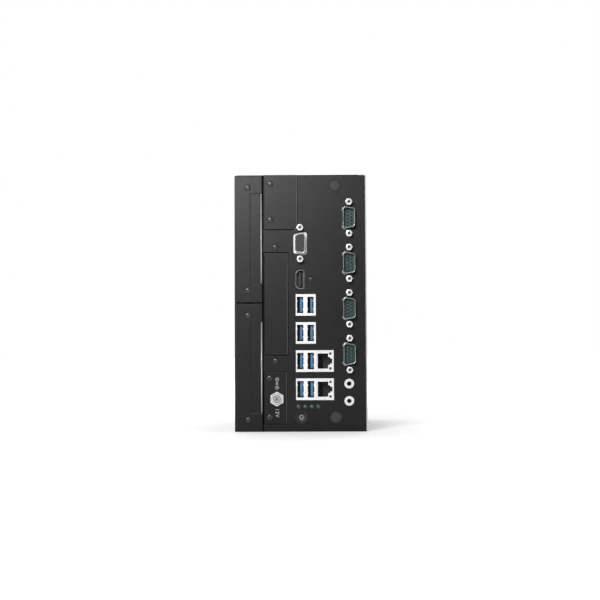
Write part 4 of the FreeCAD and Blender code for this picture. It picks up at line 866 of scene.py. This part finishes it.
def make_power_jack():
    """The power jack's threaded barrel, with an insulated socket and a centre pin."""
    low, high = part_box("power_jack")
    x, _, z = middle((low, high))
    face, nut_back = low[1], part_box("power_jack_nut")[1][1]
    jack = Mould()
    profile = behind(face, [(SOCKET, 9.5), (SOCKET, 0.15), (SOCKET + 0.15, 0), (BARREL - 0.45, 0),
                            (BARREL - 0.2, 0.25)])
    depth = 0.4
    while face + depth * MM < nut_back - THREAD_PITCH * MM:
        profile += behind(face, [(BARREL - THREAD_DEEP, depth), (BARREL, depth + THREAD_PITCH / 2)])
        depth += THREAD_PITCH
    body = (high[0] - low[0]) / 2
    profile += behind(nut_back, [(BARREL - 0.05, 0), (BARREL, JACK_SHOULDER)])
    profile += [(body, nut_back + JACK_SHOULDER * MM), (body, high[1]), (0.1 * MM, high[1])]
    jack.turned(x, z, profile, sides=48)
    jack.turned(x, z, behind(face, [(PIN - 0.25, 1.2), (PIN, 1.55), (PIN, 9.5)]), sides=32)
    jack.turned(x, z, behind(face, [(SOCKET - 0.4, 2.5), (SOCKET - 0.4, 0.5), (SOCKET - 0.5, 0.4),
                                    (PIN + 0.55, 0.4), (PIN + 0.45, 2.5)]), sides=40, hollow=True)
    jack.coat = 1
    jack.turned(x, z, behind(face, [(SOCKET + 0.22, 0), (SOCKET + 0.15, -0.05), (SOCKET - 0.38, -0.05),
                                    (SOCKET - 0.38, 9.3), (PIN, 9.3), (PIN, 9.4), (SOCKET - 0.02, 9.4),
                                    (SOCKET - 0.02, 0.2)]), sides=40, hollow=True)
    jack.turned(x, z, behind(face, [(PIN - 0.45, 1.19), (PIN - 0.5, 1.15), (0.1, 1.15), (0.1, 1.3)]),
                sides=32)
    jack.turned(x, z, behind(nut_back, [(BARREL + 0.02, -2.42), (BARREL + 0.35, -2.42),
                                        (BARREL + 0.35, -2.38), (BARREL + 0.02, -2.38)]),
                sides=40, hollow=True)
    jack.piece("power_jack_detail", "nickel", "black_plastic", replaces=["power_jack"])


def make_status_lamps():
    """Four domed lamps on the light bar."""
    low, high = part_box("status_lamps")
    radius, pitch = 1.45 * MM, 5.17 * MM
    z = high[2] - 2.05 * MM
    bar = low[1] + 1.5 * MM
    lamps = Mould()
    lamps.block((low[0], bar, low[2]), high)
    for step in range(4):
        x = low[0] + 2.2 * MM + pitch * step
        lamps.turned(x, z, [(radius * 0.35, low[1]), (radius * 0.7, low[1] + 0.08 * MM),
                            (radius * 0.95, low[1] + 0.3 * MM), (radius, low[1] + 0.6 * MM),
                            (radius, bar)])
    lamps.piece("status_lamps_detail", "lamp_plastic", replaces=["status_lamps"])


def make_button_mark():
    """The usual on and off sign on the button: a broken ring with a bar. It moves with the button."""
    low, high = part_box("power_button")
    x, _, z = middle((low, high))
    dish, rim = 0.35 * MM, (high[0] - low[0]) / 2 - 0.5 * MM
    ring, half, proud = 1.55 * MM, 0.2 * MM, 0.03 * MM
    gap, steps = math.radians(38), 30

    def surface(radius):
        return low[1] + dish * (1 - radius / rim) - proud

    mark = Mould()
    turns = [gap + (2 * math.pi - 2 * gap) * step / steps for step in range(steps + 1)]
    mark.band(*(mark.loop([(x + math.cos(turn) * radius, surface(radius), z + math.sin(turn) * radius)
                           for turn in turns]) for radius in (ring - half, ring + half)))
    bar = rectangle(0.3 * MM, -half, 2.1 * MM, half)
    mark.face(mark.loop([(x + a, surface(a), z + b) for a, b in bar]))
    mark.piece("power_mark", "white_print", body="button", sheet=0.02 * MM)


make_power_jack()
make_status_lamps()
make_button_mark()


# ---------------------------------------------------------------- printing on the inlet plate

PRINT_THICK = 0.02 * MM


def make_inlet_print():
    """A polarity sign above the power jack, and the voltage below it, printed on the plate."""
    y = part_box("inlet_plate")[0][1] - 0.02 * MM
    jack_x, _, z = middle(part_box("power_jack"))
    x = jack_x + 0.1 * MM
    half_line = 0.15 * MM
    paint = Mould()

    def arc(centre_z, radius, start, end, steps=24):
        turns = [math.radians(start + (end - start) * step / steps) for step in range(steps + 1)]
        paint.band(*(paint.ring([(x + math.cos(turn) * edge, centre_z + math.sin(turn) * edge)
                                 for turn in turns], y)
                     for edge in (radius - half_line, radius + half_line)))

    def bar(centre_z, half_wide, half_tall):
        paint.face(paint.ring(rectangle(x - half_wide, centre_z - half_tall,
                                        x + half_wide, centre_z + half_tall), y))

    ring, pitch, half_bar, dot = 1.3 * MM, 3.2 * MM, 0.7 * MM, 0.5 * MM
    plus, centre, minus = (z + 15.4 * MM - pitch * place for place in (2, 1, 0))
    for sign in (minus, plus):
        arc(sign, ring, 0, 360)
        bar(sign, half_bar, half_line)
    bar(plus, half_line, half_bar)
    arc(centre, ring * 0.8, 30, 330)
    paint.face(paint.ring(circle(x, centre, dot, 16), y))
    paint.piece("polarity_print", "white_print", sheet=PRINT_THICK)

    words = bpy.data.curves.new("voltage", "FONT")
    words.body = "12V"
    words.size = 4.0 * MM
    words.align_x, words.align_y = "LEFT", "CENTER"
    words.space_character = 1.15
    words.offset = 0.02 * MM
    text = bpy.data.objects.new("voltage", words)
    scene.collection.objects.link(text)
    mesh = bpy.data.meshes.new_from_object(text)
    bpy.data.objects.remove(text)
    facing = Matrix.Rotation(math.pi / 2, 4, "Y") @ Matrix.Rotation(math.pi / 2, 4, "X")
    mesh.transform(Matrix.Translation((x, y, z - 7.4 * MM)) @ facing)
    Mould(mesh).piece("voltage_print", "white_print", sheet=PRINT_THICK)


make_inlet_print()


# ---------------------------------------------------------------- floor, light and camera

FLOOR_SIZE, FLOOR_MIDDLE = 80, 39.18    # its front edge lies between the camera and the object
SKY_LIGHT, SKY_SEEN = 0.17, 1.0         # the sky's strength as a lamp, and as the camera sees it
FOCAL, PICTURE, SENSOR = 1262.8, 600, 36    # pixels, pixels, mm


def floor_material():
    """A plain matt surface that the camera sees lighter with distance, for a white background."""
    shade = Shade("floor", (0.86, 0.86, 0.86), 0.9, Specular_IOR_Level=0.0,
                  Emission_Color=(1, 1, 1, 1))
    shade.vary(shade.noise(0.5), by=0.01)
    apart = shade.node("VectorMath", "LENGTH")
    shade.links.new(shade.node("NewGeometry").outputs["Position"], apart.inputs[0])
    lift = shade.node("Math", "MULTIPLY")
    near, far, least, most = 0.24, 1.0, 0.20, 1.0
    shade.links.new(shade.spread(apart.outputs["Value"], near, far, least, most), lift.inputs[0])
    shade.links.new(shade.node("LightPath").outputs["Is Camera Ray"], lift.inputs[1])
    shade.links.new(lift.outputs[0], shade.shader.inputs["Emission Strength"])
    return shade.material


def softbox(name, place, aim, size, watts):
    """A soft rectangular lamp at place, turned towards aim."""
    lamp = bpy.data.lights.new(name, "AREA")
    lamp.shape = "RECTANGLE"
    lamp.size, lamp.size_y = size
    lamp.energy = watts
    shown = bpy.data.objects.new(name, lamp)
    shown.location = place
    shown.rotation_euler = (Vector(aim) - Vector(place)).to_track_quat("-Z", "Y").to_euler()
    scene.collection.objects.link(shown)


bpy.ops.mesh.primitive_plane_add(size=FLOOR_SIZE, location=(0, FLOOR_MIDDLE, cad_box[0][2]))
floor = bpy.context.object
floor.name = "floor"
floor.data.materials.append(floor_material())

scene.view_settings.view_transform = "Standard"
world = bpy.data.worlds.new("studio")
scene.world = world
world.use_nodes = True
sky = world.node_tree.nodes["Background"]
path = world.node_tree.nodes.new("ShaderNodeLightPath")
mix = world.node_tree.nodes.new("ShaderNodeMapRange")
mix.inputs["To Min"].default_value = SKY_LIGHT
mix.inputs["To Max"].default_value = SKY_SEEN
world.node_tree.links.new(path.outputs["Is Camera Ray"], mix.inputs["Value"])
world.node_tree.links.new(mix.outputs["Result"], sky.inputs["Strength"])
sky.inputs["Color"].default_value = (1, 1, 1, 1)

softbox("key", (-0.30, -1.15, 0.56), aim=(-0.02, -0.095, 0.12), size=(0.40, 0.40), watts=12)
softbox("side", (1.3, -0.35, 0.5), aim=(0.05, 0, 0.10), size=(0.7, 0.9), watts=3)
softbox("back", (0.2, 1.4, 0.9), aim=(0, 0, 0.10), size=(1.2, 0.8), watts=14)
softbox("top", (-0.3, 0.5, 1.5), aim=(0, 0.05, 0.10), size=(1.0, 1.0), watts=9)

lens = bpy.data.cameras.new("camera")
camera = bpy.data.objects.new("camera", lens)
scene.collection.objects.link(camera)
scene.camera = camera
lens.sensor_width = SENSOR
lens.lens = FOCAL / PICTURE * SENSOR
camera.location = (0.0139, -1.094, 0.0591)
yaw, pitch, roll = (math.radians(a) for a in (-0.798, 2.570, -0.262))
camera.rotation_euler = (Matrix.Rotation(-yaw, 3, "Z") @ Matrix.Rotation(math.pi / 2 + pitch, 3, "X")
                         @ Matrix.Rotation(roll, 3, "Z")).to_euler()
